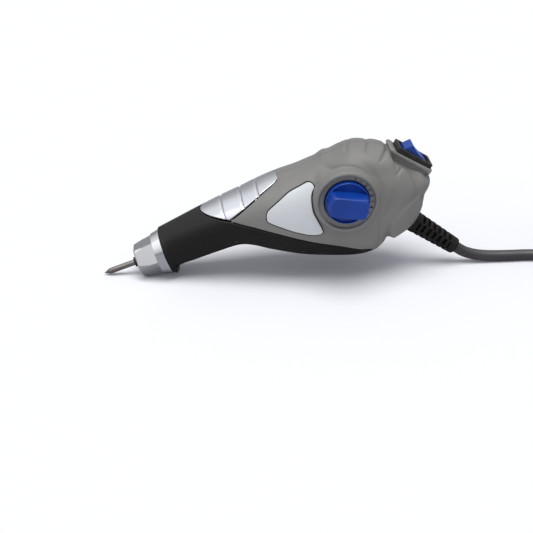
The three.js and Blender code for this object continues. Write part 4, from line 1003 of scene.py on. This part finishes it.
    def lay(self, u: Array, angle: Array, drop: Array, detail: bool) -> Array:
        """Points on the shell, lowered by drop, with the lobes where detail is true.

        Args:
            u: the sections' shares.
            angle: angles on each section.
            drop: how far each point is lowered.
            detail: whether the lobes and creases are laid on.
        Returns:
            The points.
        """
        wide = np.broadcast_to(u[:, None], angle.shape)
        places, facing = self.shell.at(wide, angle), self.shell.normal(wide, angle)
        lift = self.back(places, angle) + (self.relief(places) if detail else 0.0)
        return places + facing * (lift - drop)[..., None]

    def make(self) -> None:
        """Builds and dresses every skin."""
        self.make_grip()
        self.make_inlay()
        self.make_housing()
        self.make_badge()

    def add_skin(
        self, name: str, grid: Array, inside: Point, slot: str, finish: Finish, stands_for: str
    ) -> None:
        """One skin from its outer face, with its wall inwards.

        Args:
            name: the piece's name.
            grid: its outer face.
            inside: a point on the wall's inner side.
            slot: the record's material slot.
            finish: the surface finish.
            stands_for: the node that it replaces.
        """
        made = add_piece(name, Sheet(grid), "body", slot, finish, stands_for, inside=inside)
        wall = made.modifiers.new("wall", "SOLIDIFY")
        wall.thickness, wall.offset = self.skin * MM, -1.0

    def border(self, real: Array, radius: float) -> tuple[Array, Array]:
        """The gap and the edge's radius along a border, which is only a seam where it isn't real."""
        return np.where(real, self.gap, self.seam_gap), np.where(real, radius, self.seam_radius)[:, None]

    def make_grip(self) -> None:
        """The black rubber skin: two halves from the inlay and shell borders down to the keel.

        It rolls in at the front, where a foot stands out under the cone.
        """
        u = np.concatenate(
            [[0, 0.0004, 0.001, 0.002, 0.0035, 0.005, 0.007, 0.01, 0.014, 0.018], np.linspace(0.022, 0.032, 18),
             np.linspace(0.034, 0.862, 330)]
        )
        grip = self.borders(u)[1]
        kept = grip < math.pi - 0.02
        u, grip = u[kept], grip[kept]
        gap, radius = self.border(grip > SEAM_ANGLE, self.grip_radius)
        angle, near, far = self.shell.patch(u, grip, np.full_like(u, math.pi), 90, (gap, self.seam_gap))
        drop = rolled(near, radius) + rolled(far, self.seam_radius)
        front = u[:, None] + 0 * drop
        drop = np.maximum(drop, rolled(front * 150.0, 0.9))
        foot = ramp(front, *self.foot_along) * ramp(angle, *self.foot_round)
        drop -= self.foot * foot * ease(front / 0.004)
        for side, name in SIDES:
            grid = self.lay(u, angle * side, drop, False)
            self.add_skin(f"grip_skin_{name}", grid, (0.0, 0.0, 30.0), "grip_rubber", RUBBER, f"grip_{name}")

    def make_inlay(self) -> None:
        """The silver saddle with its three leaning grooves."""
        u = np.linspace(0.12, 0.52, 330)
        edge = self.borders(u)[0]
        u, edge = u[edge > 0.03], edge[edge > 0.03]
        angle, near, far = self.shell.patch(u, -edge, edge, 150, (0.5, 0.5))
        places = self.shell.at(np.broadcast_to(u[:, None], angle.shape), angle)
        drop = rolled(near, self.inlay_radius) + rolled(far, self.inlay_radius)
        groove = np.zeros_like(angle)
        lean = self.groove_lean * (self.groove_level - places[..., 2])
        for share in self.grooves:
            line = share * self.shell.length + self.shell.start_x + lean
            groove += self.groove_depth * bell((places[..., 0] - line) / self.groove_width)
        grid = self.lay(u, angle, drop + groove, False)
        self.add_skin("inlay_saddle", grid, (-20.0, 0.0, 30.0), "silver_trim", SILVER, "top_inlay")

    def make_housing(self) -> None:
        """The grey shell: two halves between the inlay, the grip and the middle plane, closed at the rear."""
        u = np.concatenate([np.linspace(0.2, 0.9, 330), np.linspace(0.902, 1.0, 90)])
        inlay, grip = self.borders(u)
        kept = grip - inlay > 0.02
        u, inlay, grip = u[kept], inlay[kept], grip[kept]
        upper, first = self.border(inlay > SEAM_ANGLE, self.border_radius)
        lower, last = self.border(grip < math.pi - SEAM_ANGLE, self.border_radius)
        angle, near, far = self.shell.patch(u, inlay, grip, 150, (upper, lower))
        drop = rolled(near, first) + rolled(far, last)
        for side, name in SIDES:
            grid = self.sunk(self.lay(u, angle * side, drop, True))
            end = grid[-1]
            centre = np.array([end[:, 0].mean(), end[0, 1], end[:, 2].mean()])
            turn = np.linspace(0, math.pi / 2, 9)[1:, None, None]
            cap = centre + (end - centre) * np.cos(turn) + np.array([0.3, 0, -0.1]) * np.sin(turn)
            grid = np.concatenate([grid, cap])
            self.add_skin(f"shell_{name}", grid, (30.0, 0.0, 40.0), "housing_grey", HOUSING, f"housing_{name}")

    def make_badge(self) -> None:
        """The bare plate: its outline drawn in towards its middle, with a rounded edge, ringed by a dark band of
        painted shade that stands for the gap round it.
        """
        outline = self.shell.spots(np.array(self.badge_edge))
        closed = np.vstack([outline, outline[:1]])
        smooth = catmull(np.vstack([outline[-1:], closed, outline[1:2]]), np.linspace(1 / 25, 24 / 25, 289)[:-1])
        middle = smooth.mean(0)
        outward = unit(np.stack([np.gradient(smooth[:, 1]), -np.gradient(smooth[:, 0])], -1))
        outward *= np.sign(((smooth - middle) * outward).sum())

        def rings(grown: list[float], heights: list[float]) -> Array:
            """Rings of the outline, moved outwards and lifted, then drawn in to the middle.

            Args:
                grown: how far each ring at the edge is moved outwards.
                heights: how far each of them is lifted.
            Returns:
                The rings' points.
            """
            edge = np.stack([smooth + outward * move for move in grown])
            inner = edge[-1] + (middle - edge[-1]) * np.linspace(0, 1, self.badge_rings)[1:, None, None]
            flat = np.concatenate([edge, inner])
            lift = np.concatenate([heights, np.full(self.badge_rings - 1, heights[-1])])[:, None]
            u, angle = self.shell.locate(flat[..., 0], flat[..., 1])
            places = self.shell.at(u, angle)
            lift = lift + self.back(places, angle)
            return places + self.shell.normal(u, angle) * lift[..., None]

        for name, slot, finish, nodes, grown, heights in (
            # The first ring is painted shade: a near-black band for the shadowed gap round the plate.
            ("badge_gap_shade", "black_plastic", GAP_SHADE, (), [0.55, 0.5, 0.4], [-0.25, 0.06, 0.08]),
            ("badge_face", "badge", BADGE, ("badge_plate",), [0, 0, -0.05, -0.15, -0.35, -0.6],
             [-0.4, 0.1, 0.2, 0.27, 0.32, 0.33]),
        ):
            sheet = Sheet(rings(grown, heights), round_columns=True)
            add_piece(name, sheet, "body", slot, finish, *nodes, inside=(5.0, 0.0, 40.0))


# ---------------------------------------------------------------- sub-assemblies

@dataclass
class NoseEnd:
    """The faceted cone, its threaded seat and the finishes of the stylus and its seal."""

    length: float = 16.3
    rear_radius: float = 12.6
    front_radius: float = 8.9
    flats: int = 6
    flat_length: float = 11.0
    flat_depth: float = 0.75
    # The seat's thread: its root radius, its depth and its pitch.
    thread: Point = (8.15, 0.2, 1.5)
    sides: int = 192

    def outer(self, along: Array, angle: Array) -> Array:
        """The cone's radius: a straight taper, cut to the flats' planes over the front part.

        Args:
            along: places on the axis.
            angle: angles round it.
        Returns:
            The radius at each of them.
        """
        taper = self.rear_radius + (self.front_radius - self.rear_radius) * along / -self.length
        pitch = 2 * math.pi / self.flats
        from_middle = (angle % pitch) - pitch / 2
        lean = math.atan2(self.rear_radius - self.front_radius, self.length) / 2
        plane = (self.front_radius - self.flat_depth) + (along + self.length) * math.tan(lean)
        cut = plane / np.cos(from_middle)
        front = ease((-self.length + self.flat_length - along) / 0.35 + 0.5)
        return np.where(cut < taper, cut * front + taper * (1 - front), taper)

    def make(self) -> None:
        """Builds the cone and the threaded seat, and dresses the stylus and the seal."""
        angle = circle(self.sides)
        along = np.concatenate([np.linspace(-0.3, -4.6, 12), np.linspace(-4.8, -5.9, 16), np.linspace(-6.2, -15.2, 40)])
        edge_along = np.array([-15.5, -15.8, -16.05, -16.2, -16.28, -16.3])
        inset = np.array([0.02, 0.1, 0.25, 0.45, 0.7, 1.0])
        bore_along = np.array([-16.3, -16.25, -15.0, -14.8, -14.8, -6.8, -6.8, -0.5, -0.3])
        bore = np.array([3.15, 3.0, 3.0, 3.1, 5.8, 8.7, 8.7, 8.7, 8.8])
        radius = np.concatenate(
            [np.full((1, self.sides), self.rear_radius - 0.15), self.outer(along[:, None], angle),
             self.outer(edge_along[:, None], angle) - inset[:, None], np.repeat(bore[:, None], self.sides, 1)]
        )
        sheet = NOSE_AXES.spun(np.concatenate([[-0.3], along, edge_along, bore_along]), radius, self.sides, True)
        add_piece("cone_shell", sheet, "cone", "silver_trim", SATIN_CHROME, "nose_cone", crease_degrees=18)
        along = np.linspace(-6.3, -0.6, 130)
        root, depth, pitch = self.thread
        thread = root + depth * np.abs(((along / pitch) % 1) * 2 - 1)
        along = np.concatenate([[-6.3, -6.5, -6.5], along, [-0.2, 0.0, 0.0, 1.2, 1.2, -6.3]])
        radius = np.concatenate([[6.45, 6.6, 7.8], thread, [8.2, 8.6, 10.9, 10.9, 6.4, 6.4]])
        sheet = NOSE_AXES.spun(along, radius, 96)
        add_piece("threaded_seat", sheet, "body", "housing_grey", HOUSING, crease_degrees=30)
        dress(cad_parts["stylus"], GROUND_STEEL)
        dress(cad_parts["nose_seal"], RUBBER)


@dataclass
class StrokeDial:
    """The raised seat with its scale, and the knob with its finger bar."""

    knob_radius: float = 11.3
    bar_width: float = 12.6
    lean_degrees: float = -7.5
    face: float = 24.63
    scale_radius: float = 13.05
    scale_start: float = 72.0
    scale_step: float = 29.0
    number_size: float = 3.0
    # A tick's inner and outer radius and half its width.
    tick: Point = (12.4, 13.7, 0.22)

    def make(self) -> None:
        """Builds the seat, the scale and the knob."""
        self.make_seat()
        self.make_scale()
        self.make_knob()

    def make_seat(self) -> None:
        """A ring turned about the dial's axis, with a round rim and a face that slopes in to the recess."""
        profile = soften(
            [(18.5, 17.0), (23.8, 16.9), (25.2, 16.5), (26.0, 15.7), (26.1, 15.0), (25.7, 14.5), (24.7, 14.25),
             (24.55, 11.95), (24.2, 11.75), (20.8, 11.7), (20.75, 2.4), (19.0, 2.35), (18.5, 4.0)], 0.45,
        )
        along, radius = np.vstack([profile, profile[:1]]).T
        sheet = DIAL_AXES.spun(along, radius, 128)
        add_piece("dial_seat", sheet, "body", "housing_grey", HOUSING, crease_degrees=35)

    def make_scale(self) -> None:
        """Raised numbers from 1 to 5 with a tick between each pair, on the sloping face.

        A tick is a strip that reaches from its inner to its outer radius, turned to its angle.
        """
        near, far, half = self.tick
        ticks = []
        for step in range(1, 9, 2):
            turn = math.radians(self.scale_start - step * self.scale_step / 2)
            c, s = math.cos(turn), math.sin(turn)
            corners = np.array([(near, -half), (far, -half), (far, half), (near, half)])
            outline = np.column_stack([corners[:, 0] * c - corners[:, 1] * s, corners[:, 0] * s + corners[:, 1] * c])
            low, high, middle = self.face - 0.4, self.face + 0.09, outline * 0 + outline.mean(0)
            rows = [(low, middle), (low, outline), (high, outline), (high, middle)]
            ticks.append(DIAL_AXES.rings(np.stack([at_level(*row) for row in rows])))
        fit_out(make_object("scale_ticks", ticks, crease_degrees=20), "body", "black_plastic", BLACK)
        for number in range(5):
            self.add_number(f"scale_number_{number + 1}", str(number + 1), self.scale_start - number * self.scale_step)

    def add_number(self, name: str, digit: str, degrees: float) -> None:
        """One raised digit that stands upright on the scale's circle.

        Args:
            name: the object's name.
            digit: the figure.
            degrees: its place on the circle.
        """
        text = bpy.data.curves.new(name, "FONT")
        text.body, text.size, text.offset, text.extrude = digit, self.number_size, 0.05, 0.14
        text.align_x, text.align_y = "CENTER", "CENTER"
        holder = bpy.data.objects.new("holder", text)
        mesh = bpy.data.meshes.new_from_object(holder)
        bpy.data.objects.remove(holder)
        flat = np.zeros(len(mesh.vertices) * 3, np.float32)
        mesh.vertices.foreach_get("co", flat)
        x, y, z = flat.reshape(-1, 3).astype(float).T
        turn = math.radians(degrees)
        tilt, out = turn - math.pi / 2, self.scale_radius
        across = x * math.cos(tilt) - y * math.sin(tilt) + out * math.cos(turn)
        up = x * math.sin(tilt) + y * math.cos(tilt) + out * math.sin(turn)
        placed = (DIAL_AXES.out(np.column_stack([self.face - 0.04 + z, across, up])) + np.array(PEN_MIDDLE)) * MM
        mesh.vertices.foreach_set("co", placed.astype(np.float32).ravel())
        mesh.update()
        fit_out(link_object(name, mesh), "body", "black_plastic", BLACK)

    def bar_outline(self, inset: float, count: int = 160) -> Array:
        """The finger bar's outline: a strip cut by the disc's circle, with round corners, drawn in by inset.

        Args:
            inset: how far it is drawn in.
            count: its number of points.
        Returns:
            The points, across and up.
        """
        angle = circle(count)
        radius = self.knob_radius - 0.25 - 1.2 * inset
        half = max(self.bar_width / 2 - inset, 1e-3)
        strip = half / np.maximum(np.abs(np.sin(angle)), 1e-6)
        reach = (radius**-16.0 + strip**-16.0) ** (-1 / 16)
        lean = angle + math.radians(self.lean_degrees)
        return np.stack([reach * np.cos(lean), reach * np.sin(lean)], -1)

    def make_knob(self) -> None:
        """The dished disc and the tapered bar, one above the other on the dial's axis."""
        profile = soften(
            [(21.1, 0.0), (21.1, 11.0), (21.4, 11.3), (26.8, 11.3), (27.2, 11.05), (27.2, 10.75), (25.9, 10.35),
             (25.7, 0.0)], 0.25,
        )
        disc = DIAL_AXES.spun(profile[:, 0], profile[:, 1], 128)
        add_piece("knob_disc", disc, "dial", "blue_plastic", BLUE, "stroke_knob", crease_degrees=30)
        levels = [(23.6, 0.0), (26.2, 0.1), (30.2, 0.5), (33.2, 0.85), (33.7, 1.0), (34.05, 1.25), (34.2, 1.6),
                  (34.2, 2.0), (34.1, 3.5), (34.05, 5.0)]
        grid = pointed(np.stack([at_level(height, self.bar_outline(inset)) for height, inset in levels]), (1, 0, 0))
        add_piece("knob_bar", DIAL_AXES.rings(grid), "dial", "blue_plastic", BLUE, crease_degrees=30)


@dataclass
class RockerSwitch:
    """The collar on the shoulder, the black switch and its blue rocker."""

    bezel_length: float = 21.0
    bezel_width: float = 13.4
    brow: float = 2.7
    brow_rise: float = 0.9
    bezel_rise: float = 0.7

    def outline(self, grow: float, corner: float) -> Array:
        """The bezel's outline grown sideways."""
        return rounded_outline(self.bezel_length + 2 * grow, self.bezel_width + 2 * grow, corner)

    def make(self) -> None:
        """Builds the collar, the switch and the rocker."""
        self.make_collar()
        self.make_body()
        self.make_rocker()

    def make_collar(self) -> None:
        """A rounded lip over a sunk neck, which swells into a brow at the front.

        Each outline is drawn forward by the brow's length and lifted by its rise where x is far forward.
        """
        levels = [(-12, -0.5, 2.0, 0.9), (-6.5, 0.0, 2.0, 1), (-4.0, 0.0, 2.0, 1), (-3.75, 0.35, 2.2, 1),
                  (-3.6, 0.9, 2.4, 1), (-3.3, 1.25, 2.6, 1), (-2.8, 1.38, 2.7, 1), (-2.3, 1.3, 2.6, 0.97),
                  (-1.9, 1.0, 2.4, 0.85), (-1.7, 0.6, 2.0, 0.6), (-1.7, 0.2, 1.7, 0.25), (-1.9, -0.3, 1.5, 0),
                  (-2.2, -0.85, 1.2, 0), (-12, -0.9, 1.2, 0)]
        rows = []
        for height, grow, corner, swell in levels:
            outline = self.outline(grow, corner)
            x = outline[:, 0] - self.brow * swell * ease((-outline[:, 0] - 4) / 7)
            lift = (self.brow_rise * ease((-x - 9) / 4) + self.wedge(x)) * (height > -4)
            lift -= 2.0 * ease((x - 8.5) / 3) * (-7 < height < -3)
            x -= 1.3 * ease((-x - 9) / 3) * (-12 <= height < -3.8)
            rows.append(np.column_stack([x, outline[:, 1], height + lift]))
        sheet = SWITCH_AXES.rings(np.stack(rows), True)
        add_piece("switch_collar", sheet, "body", "housing_grey", HOUSING, crease_degrees=50)

    def wedge(self, x: Array) -> Array:
        """How much the bezel's plane rises towards its rear."""
        return self.bezel_rise * np.clip((x + 9) / 18, 0, 1)

    def make_body(self) -> None:
        """The switch: a box under a bevelled bezel, open to a well."""
        levels = [(-14.8, -9, 0.2), (-14.8, -1.5, 0.8), (-14.6, -1.3, 0.8), (-1.8, -1.3, 0.8), (-1.75, 0.0, 1.6),
                  (0.1, 0.0, 0.7), (0.35, -0.06, 0.6), (0.6, -0.35, 0.5), (0.6, -1.3, 0.5), (0.45, -1.55, 0.5),
                  (0.01, -1.68, 0.5), (-8.9, -1.7, 0.6), (-9.0, -6.6, 0.2)]
        rows = []
        for height, grow, corner in levels:
            outline = self.outline(grow, corner)
            lift = self.wedge(outline[:, 0]) * (-2 < height)
            lift += 0.8 * np.clip((5 - outline[:, 0]) / 14, 0, 1) * (0 < height)
            rows.append(np.column_stack([outline, height + lift]))
        sheet = SWITCH_AXES.rings(pointed(np.stack(rows), (0, 0, 1)))
        add_piece("switch_case", sheet, "body", "black_plastic", BLACK, "switch_body", crease_degrees=30)

    def make_rocker(self) -> None:
        """The rocker: its side outline, with a hollow top and a tall front, carried across with round edges."""
        top = catmull(
            np.array([(8.1, 0.2), (5.8, 1.15), (3.3, 1.75), (1.5, 2.25), (-0.2, 2.9), (-2.1, 3.85), (-4.2, 5.3)]),
            np.linspace(0, 1, 50),
        )
        front = [(-4.2, 5.3), (-5.6, 3.5), (-7.0, 1.4), (-7.3, -1.8), (-3.8, -5.0), (3.8, -5.0), (8.0, -1.8),
                 (8.1, 0.2)]
        closed = np.vstack([soften(front, 0.35), top[1:-1]])
        closed = np.vstack([closed, closed[:1]])
        run = run_along(closed)
        even = np.linspace(0, run[-1], 220, endpoint=False)
        shape = np.column_stack([np.interp(even, run, closed[:, 0]), np.interp(even, run, closed[:, 1])])
        heading = unit(np.roll(shape, -1, 0) - np.roll(shape, 1, 0))
        inward = np.column_stack([-heading[:, 1], heading[:, 0]])
        inward *= np.sign(((shape.mean(0) - shape) * inward).sum())
        rows = [np.full((len(shape), 3), (-1.6, -4.8, 0.2))]
        for y, inset in ((-4.8, 0.3), (-4.77, 0.16), (-4.68, 0.05), (-4.5, 0.0), (4.5, 0.0), (4.68, 0.05),
                         (4.77, 0.16), (4.8, 0.3)):
            x, z = (shape + inward * inset).T
            rows.append(np.column_stack([x, np.full(len(x), y), z]))
        rows.append(np.full((len(shape), 3), (-1.6, 4.8, 0.2)))
        sheet = SWITCH_AXES.rings(np.stack(rows))
        add_piece("rocker_cap", sheet, "rocker", "blue_plastic", BLUE, "rocker", crease_degrees=32)


@dataclass
class LeadExit:
    """The tapered strain relief with staggered rows of slots."""

    length: float = 28.0
    base_radius: float = 5.9
    tip_radius: float = 4.5
    slot_rows: int = 6
    slot_pitch: float = 3.7
    slot_width: float = 1.85
    slot_depth: float = 2.2
    slot_half_angle: float = 26.0
    slot_turn: float = 122.0
    sides: int = 192

    def make(self) -> None:
        """Radius = taper minus a slot's depth where a window in length and a window in angle meet."""
        angle = circle(self.sides)
        along = np.linspace(0.3, self.length - 1.0, 260)
        taper = self.base_radius + (self.tip_radius - self.base_radius) * along / self.length
        wide = along[:, None] + 0 * angle
        cut = np.zeros_like(wide)
        for row in range(self.slot_rows):
            centre, offset = math.radians(self.slot_turn) + 2 * math.pi * row / self.slot_rows, row % 2 / 2
            away = np.abs((angle - centre + math.pi) % (2 * math.pi) - math.pi)
            in_angle = ease((math.radians(self.slot_half_angle) - away) / 0.12 + 0.5)
            place = (wide - 3.0) / self.slot_pitch + offset
            from_slot = np.abs(place - np.round(place)) * self.slot_pitch
            in_length = ease((self.slot_width / 2 - from_slot) / 0.25 + 0.5)
            inside = (wide > 1.0) & (wide < self.length - 4.6)
            cut = np.maximum(cut, in_angle * in_length * inside)
        radius = taper[:, None] - self.slot_depth * cut
        tip_along = self.length - np.array([0.7, 0.4, 0.15, 0.03, 0.0])
        tip_radius = self.tip_radius - np.array([0.03, 0.12, 0.35, 0.7, 1.3])
        root = np.array([(-7.0, 0.0), (-7.0, 6.9), (-5.6, 6.9), (-5.6, self.base_radius), (0.1, self.base_radius)])
        parts_along = np.concatenate([root[:, 0], along, tip_along, [self.length]])
        rings = np.concatenate(
            [np.repeat(root[:, 1:], self.sides, 1), radius, np.repeat(tip_radius[:, None], self.sides, 1),
             np.zeros((1, self.sides))]
        )
        sheet = EXIT_AXES.spun(parts_along, rings, self.sides)
        add_piece("relief_sleeve", sheet, "body", "grip_rubber", RUBBER, "strain_relief", crease_degrees=45)


@dataclass
class MainsLead:
    """The lead: a loose run, a wound length in four layers, a rising tail and the plug."""

    radius: float = 3.0
    route: Table = (
        (94.2, 5.9, 9.9), (99.6, 5.9, 6.5), (107, 5.9, 4.2), (116, 5.9, 3.3), (126, 5.9, 3.1), (136, 5.9, 3.05),
        (147.3, 4.1, 3.05), (156.3, -1.1, 3.05), (160.6, -5.6, 3.05),
    )
    coil_centre: tuple[float, float] = (201.6, 5.9)
    coil_start: float = math.radians(210)
    coil_stub: float = 6.0
    coil_radius: float = 41.0
    coil_pitch: float = 6.5
    coil_lift: float = 6.7
    coil_layers: int = 4
    layer_turns: float = 2.0
    coil_turns: float = 7.75
    climb: float = 0.25
    tail_bend: float = 26.0
    tail_run: float = 4.0
    tail_rise: float = 0.6
    plug_width: float = 25.0
    plug_thickness: float = 13.7
    # Half of the plug's collar at the lead, and its ribs: depth, number a length, middle and reach.
    plug_collar: float = 4.3
    plug_ribs: tuple[float, ...] = (0.35, 12, 0.3, 0.21)

    def centreline(self) -> Array:
        """The whole lead's middle line.

        After t turns the coil's radius is R - p (L - |t mod 2L - L|), with L turns in a layer, and its height
        grows by one lift at the end of each layer.

        Returns:
            The line's points.
        """
        turns = np.linspace(0, self.coil_turns, round(self.coil_turns * 24) + 1)
        angle = self.coil_start + 2 * math.pi * turns
        fold = self.layer_turns - np.abs(turns % (2 * self.layer_turns) - self.layer_turns)
        radius = self.coil_radius - self.coil_pitch * fold
        ends = self.layer_turns * np.arange(1, self.coil_layers)
        lift = np.clip((turns[:, None] - ends + self.climb) / (2 * self.climb), 0, 1).sum(1)
        coil = np.column_stack(
            [self.coil_centre[0] + np.cos(angle) * radius, self.coil_centre[1] + np.sin(angle) * radius,
             self.radius + self.coil_lift * lift]
        )
        into, out = ((-math.sin(end), math.cos(end), 0.0) * np.ones(3) for end in angle[[0, -1]])
        end = coil[-1] + out * self.coil_stub
        return np.vstack([np.array(self.route, float), coil[0] - into * self.coil_stub, coil, self.tail(end, out)])

    def tail(self, start: Array, heading: Array) -> Array:
        """The last stretch: a bend of one radius to the plug's direction, rising smoothly to its height.

        Args:
            start: where the wound length's end has been led out.
            heading: its direction there.
        Returns:
            The stretch's points.
        """
        bend = -math.atan2(heading[1], heading[0]) % (2 * math.pi)
        length = bend * self.tail_bend + self.tail_run * 2
        side = np.array([-heading[1], heading[0], 0.0]) * self.tail_bend
        first = start + heading * 0.3
        angle = np.linspace(0, bend, 14)
        spoke = np.column_stack(
            [-side[0] * np.cos(angle) + side[1] * np.sin(angle), -side[0] * np.sin(angle) - side[1] * np.cos(angle),
             0 * angle]
        )
        turn = first + heading * self.tail_run + side + spoke
        line = np.vstack([first, turn, turn[-1] + (self.tail_run / 2, 0, 0), turn[-1] + (self.tail_run, 0, 0)])
        run = np.concatenate([[0], self.tail_run + angle * self.tail_bend, [length - self.tail_run / 2, length]])
        rise = self.radius + 0.3 + self.plug_thickness / 2
        line[:, 2] = start[2] + rise * ease(run / length / self.tail_rise)
        return line

    def make(self) -> None:
        rough = self.centreline()
        fine = catmull(rough, np.linspace(0, 1, (len(rough) - 1) * 3 + 1))
        lead = add_piece(
            "mains_lead", tube(fine, self.radius, 24), "body", "cord_vinyl", VINYL, "power_cord", "cord_coil",
            "cord_tail", shift=NOWHERE, crease_degrees=60,
        )
        plug = self.make_plug()
        pins = [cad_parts[name] for name in ("plug_pin_1", "plug_pin_2")]
        for pin in pins:
            dress(pin, PIN)

    def make_plug(self) -> Object:
        """A flat two-pin plug: superellipse sections whose width and thickness grow from the lead's collar.

        Returns:
            The plug's moulding.
        """
        low, high = (np.array(corner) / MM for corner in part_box("plug_body"))
        middle = (low + high) / 2
        share = np.concatenate([[0, 0, 0.01, 0.03], np.linspace(0.06, 0.94, 60), [0.965, 0.985, 0.996, 1, 1]])
        widen = ease((share - 0.12) / 0.5)
        collar, (depth, number, place, reach) = self.plug_collar, self.plug_ribs
        half_width = collar + (self.plug_width / 2 - collar) * widen
        half_thick = collar + (self.plug_thickness / 2 - collar) * ease((share - 0.08) / 0.3)
        ribs = depth * np.cos((share - place) * 2 * math.pi * number) * (np.abs(share - place) < reach)
        power = 2.2 + 1.8 * widen
        end = np.minimum(ease(share / 0.03) * 0.25 + 0.75, ease((1 - share) / 0.035) * 0.12 + 0.88)
        half_width, half_thick = (half_width + np.minimum(ribs, 0)) * end, (half_thick + np.minimum(ribs, 0)) * end
        half_width[[0, -1]] = half_thick[[0, -1]] = 0
        angle, power = circle(96), power[:, None]
        y = half_width[:, None] * signed_power(np.cos(angle), 2 / power)
        z = half_thick[:, None] * signed_power(np.sin(angle), 2 / power)
        x = low[0] + share[:, None] * (high[0] - low[0]) + 0 * y
        sheet = Sheet(np.stack([x, y + middle[1], z + middle[2]], -1), round_columns=True)
        return add_piece(
            "plug_moulding", sheet, "body", "cord_vinyl", VINYL, "plug_body", shift=NOWHERE, crease_degrees=50
        )


@dataclass
class InnerWorks:
    """Everything inside the shell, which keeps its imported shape: nodes by finish."""

    finishes: tuple[tuple[Finish, str], ...] = (
        (GROUND_STEEL, "striker_shaft"),
        (STEEL, "chuck_screw spring_collar return_spring armature_nut dial_spindle dial_clip clamp_screw_1 "
                "clamp_screw_2 housing_screw_1 housing_screw_2 housing_screw_3 housing_screw_4 housing_screw_5"),
        (BRONZE, "front_bush rear_bush shoe_guide switch_terminal_front switch_terminal_rear"),
        (LAMINATION, "armature_plate magnet_core"),
        (NYLON, "bobbin_upper bobbin_lower stroke_shoe lead_clamp"),
        (COPPER, "winding_upper winding_lower"),
        (VINYL, "inner_lead"),
    )

    def make(self) -> None:
        """Dresses each inner node."""
        for finish, names in self.finishes:
            for name in names.split():
                dress(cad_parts[name], finish)


@dataclass
class Studio:
    """A white floor, a soft overhead light and the camera at the photograph's angle."""

    target: Point = (-8.935, 5.895, 1.575)
    back: Point = (-0.0696, -0.8843, 0.4618)
    distance: float = 630.0
    lens: float = 78.35
    sky: float = 0.37
    key: float = 2.2

    def make_camera(self) -> None:
        """The camera, looking at the target from along the back direction."""
        data = bpy.data.cameras.new("studio_camera")
        data.lens, data.sensor_width = self.lens, 36.0
        data.clip_start, data.clip_end = 0.01, 20.0
        camera = link_object("studio_camera", data)
        back = Vector(self.back).normalized()
        camera.location = (Vector(self.target) + back * self.distance) * MM
        camera.rotation_mode = "QUATERNION"
        camera.rotation_quaternion = (-back).to_track_quat("-Z", "Y")
        bpy.context.scene.camera = camera

    def make_lights(self) -> None:
        """A wide lamp overhead, a weaker one from the left, and a sky that gloss sees as a lit ceiling.

        Rays from gloss find a strength that grows from a dark horizon to a bright ceiling; the camera finds
        white, and the light that falls on things is an even, slightly blue sky.
        """
        for name, strength, spread, direction in (
            ("key", self.key, 42.0, (-0.03, -0.16, 1.0)), ("side", 0.4, 60.0, (-0.8, -0.35, 0.5))
        ):
            lamp = bpy.data.lights.new(name, "SUN")
            lamp.energy, lamp.angle = strength, math.radians(spread)
            holder = link_object(name, lamp)
            holder.rotation_mode = "QUATERNION"
            holder.rotation_quaternion = Vector(direction).normalized().to_track_quat("Z", "Y")
        world = bpy.context.scene.world = bpy.data.worlds.new("studio_sky")
        tree = empty_tree(world)
        glossy, seen, spread = (
            add_node(tree, "LightPath", out=f"Is {kind} Ray") for kind in ("Glossy", "Camera", "Diffuse")
        )
        height = add_node(tree, "SeparateXYZ", {0: add_node(tree, "TexCoord", out="Generated")}, 2)
        limits = {"Value": height, "From Min": 0.18, "From Max": 0.78, "To Min": 0.34, "To Max": 1.25}
        ceiling = add_node(tree, "MapRange", limits, interpolation_type="SMOOTHSTEP")
        gloss = add_node(tree, "Mix", {0: glossy, 2: self.sky, 3: ceiling}, data_type="FLOAT")
        strength = add_node(tree, "Mix", {0: seen, 2: gloss, 3: 1.0}, data_type="FLOAT")
        tint = add_node(tree, "Mix", {0: spread, 6: (1, 1, 1, 1), 7: (0.93, 0.96, 1.08, 1)}, 2, data_type="RGBA")
        sky = add_node(tree, "Background", {"Color": tint, "Strength": strength})
        add_node(tree, "OutputWorld", {"Surface": sky})

    def make_floor(self) -> None:
        """A matt white floor, lifted slightly where the camera sees it and darker in reflections."""
        reach = np.array([-4000.0, 4000.0])
        grid = np.stack(np.broadcast_arrays(reach[:, None], reach[None], np.zeros((2, 2))), -1)
        floor = make_object("studio_floor", [Sheet(grid)], NOWHERE, (0, 0, -10.0))
        made = bpy.data.materials.new("matt_white_floor")
        tree = empty_tree(made)
        glossy, seen = (add_node(tree, "LightPath", out=f"Is {kind} Ray") for kind in ("Glossy", "Camera"))
        lift = add_node(tree, "Math", {0: seen, 1: 0.03}, operation="MULTIPLY")
        tones = {0: glossy, 6: (0.88, 0.88, 0.9, 1), 7: (0.42, 0.42, 0.44, 1)}
        matt = add_node(tree, "BsdfDiffuse", {"Color": add_node(tree, "Mix", tones, 2, data_type="RGBA")})
        glow = add_node(tree, "Emission", {"Color": (1, 1, 1, 1), "Strength": lift})
        add_node(tree, "OutputMaterial", {"Surface": add_node(tree, "AddShader", {0: matt, 1: glow})})
        floor.data.materials.append(made)


def main() -> None:
    """Builds the camera and the lead first, then every sub-assembly, then the studio."""
    logging.basicConfig(level=logging.INFO, format="%(name)s: %(message)s")
    bpy.context.scene.view_settings.view_transform = "Standard"
    studio = Studio()
    studio.make_camera()
    for part in (MainsLead(), LeadExit(), OuterSkins(), NoseEnd(), StrokeDial(), RockerSwitch(), InnerWorks()):
        LOG.info("building %s", type(part).__name__)
        part.make()
    studio.make_lights()
    studio.make_floor()


if __name__ == "__main__":
    main()
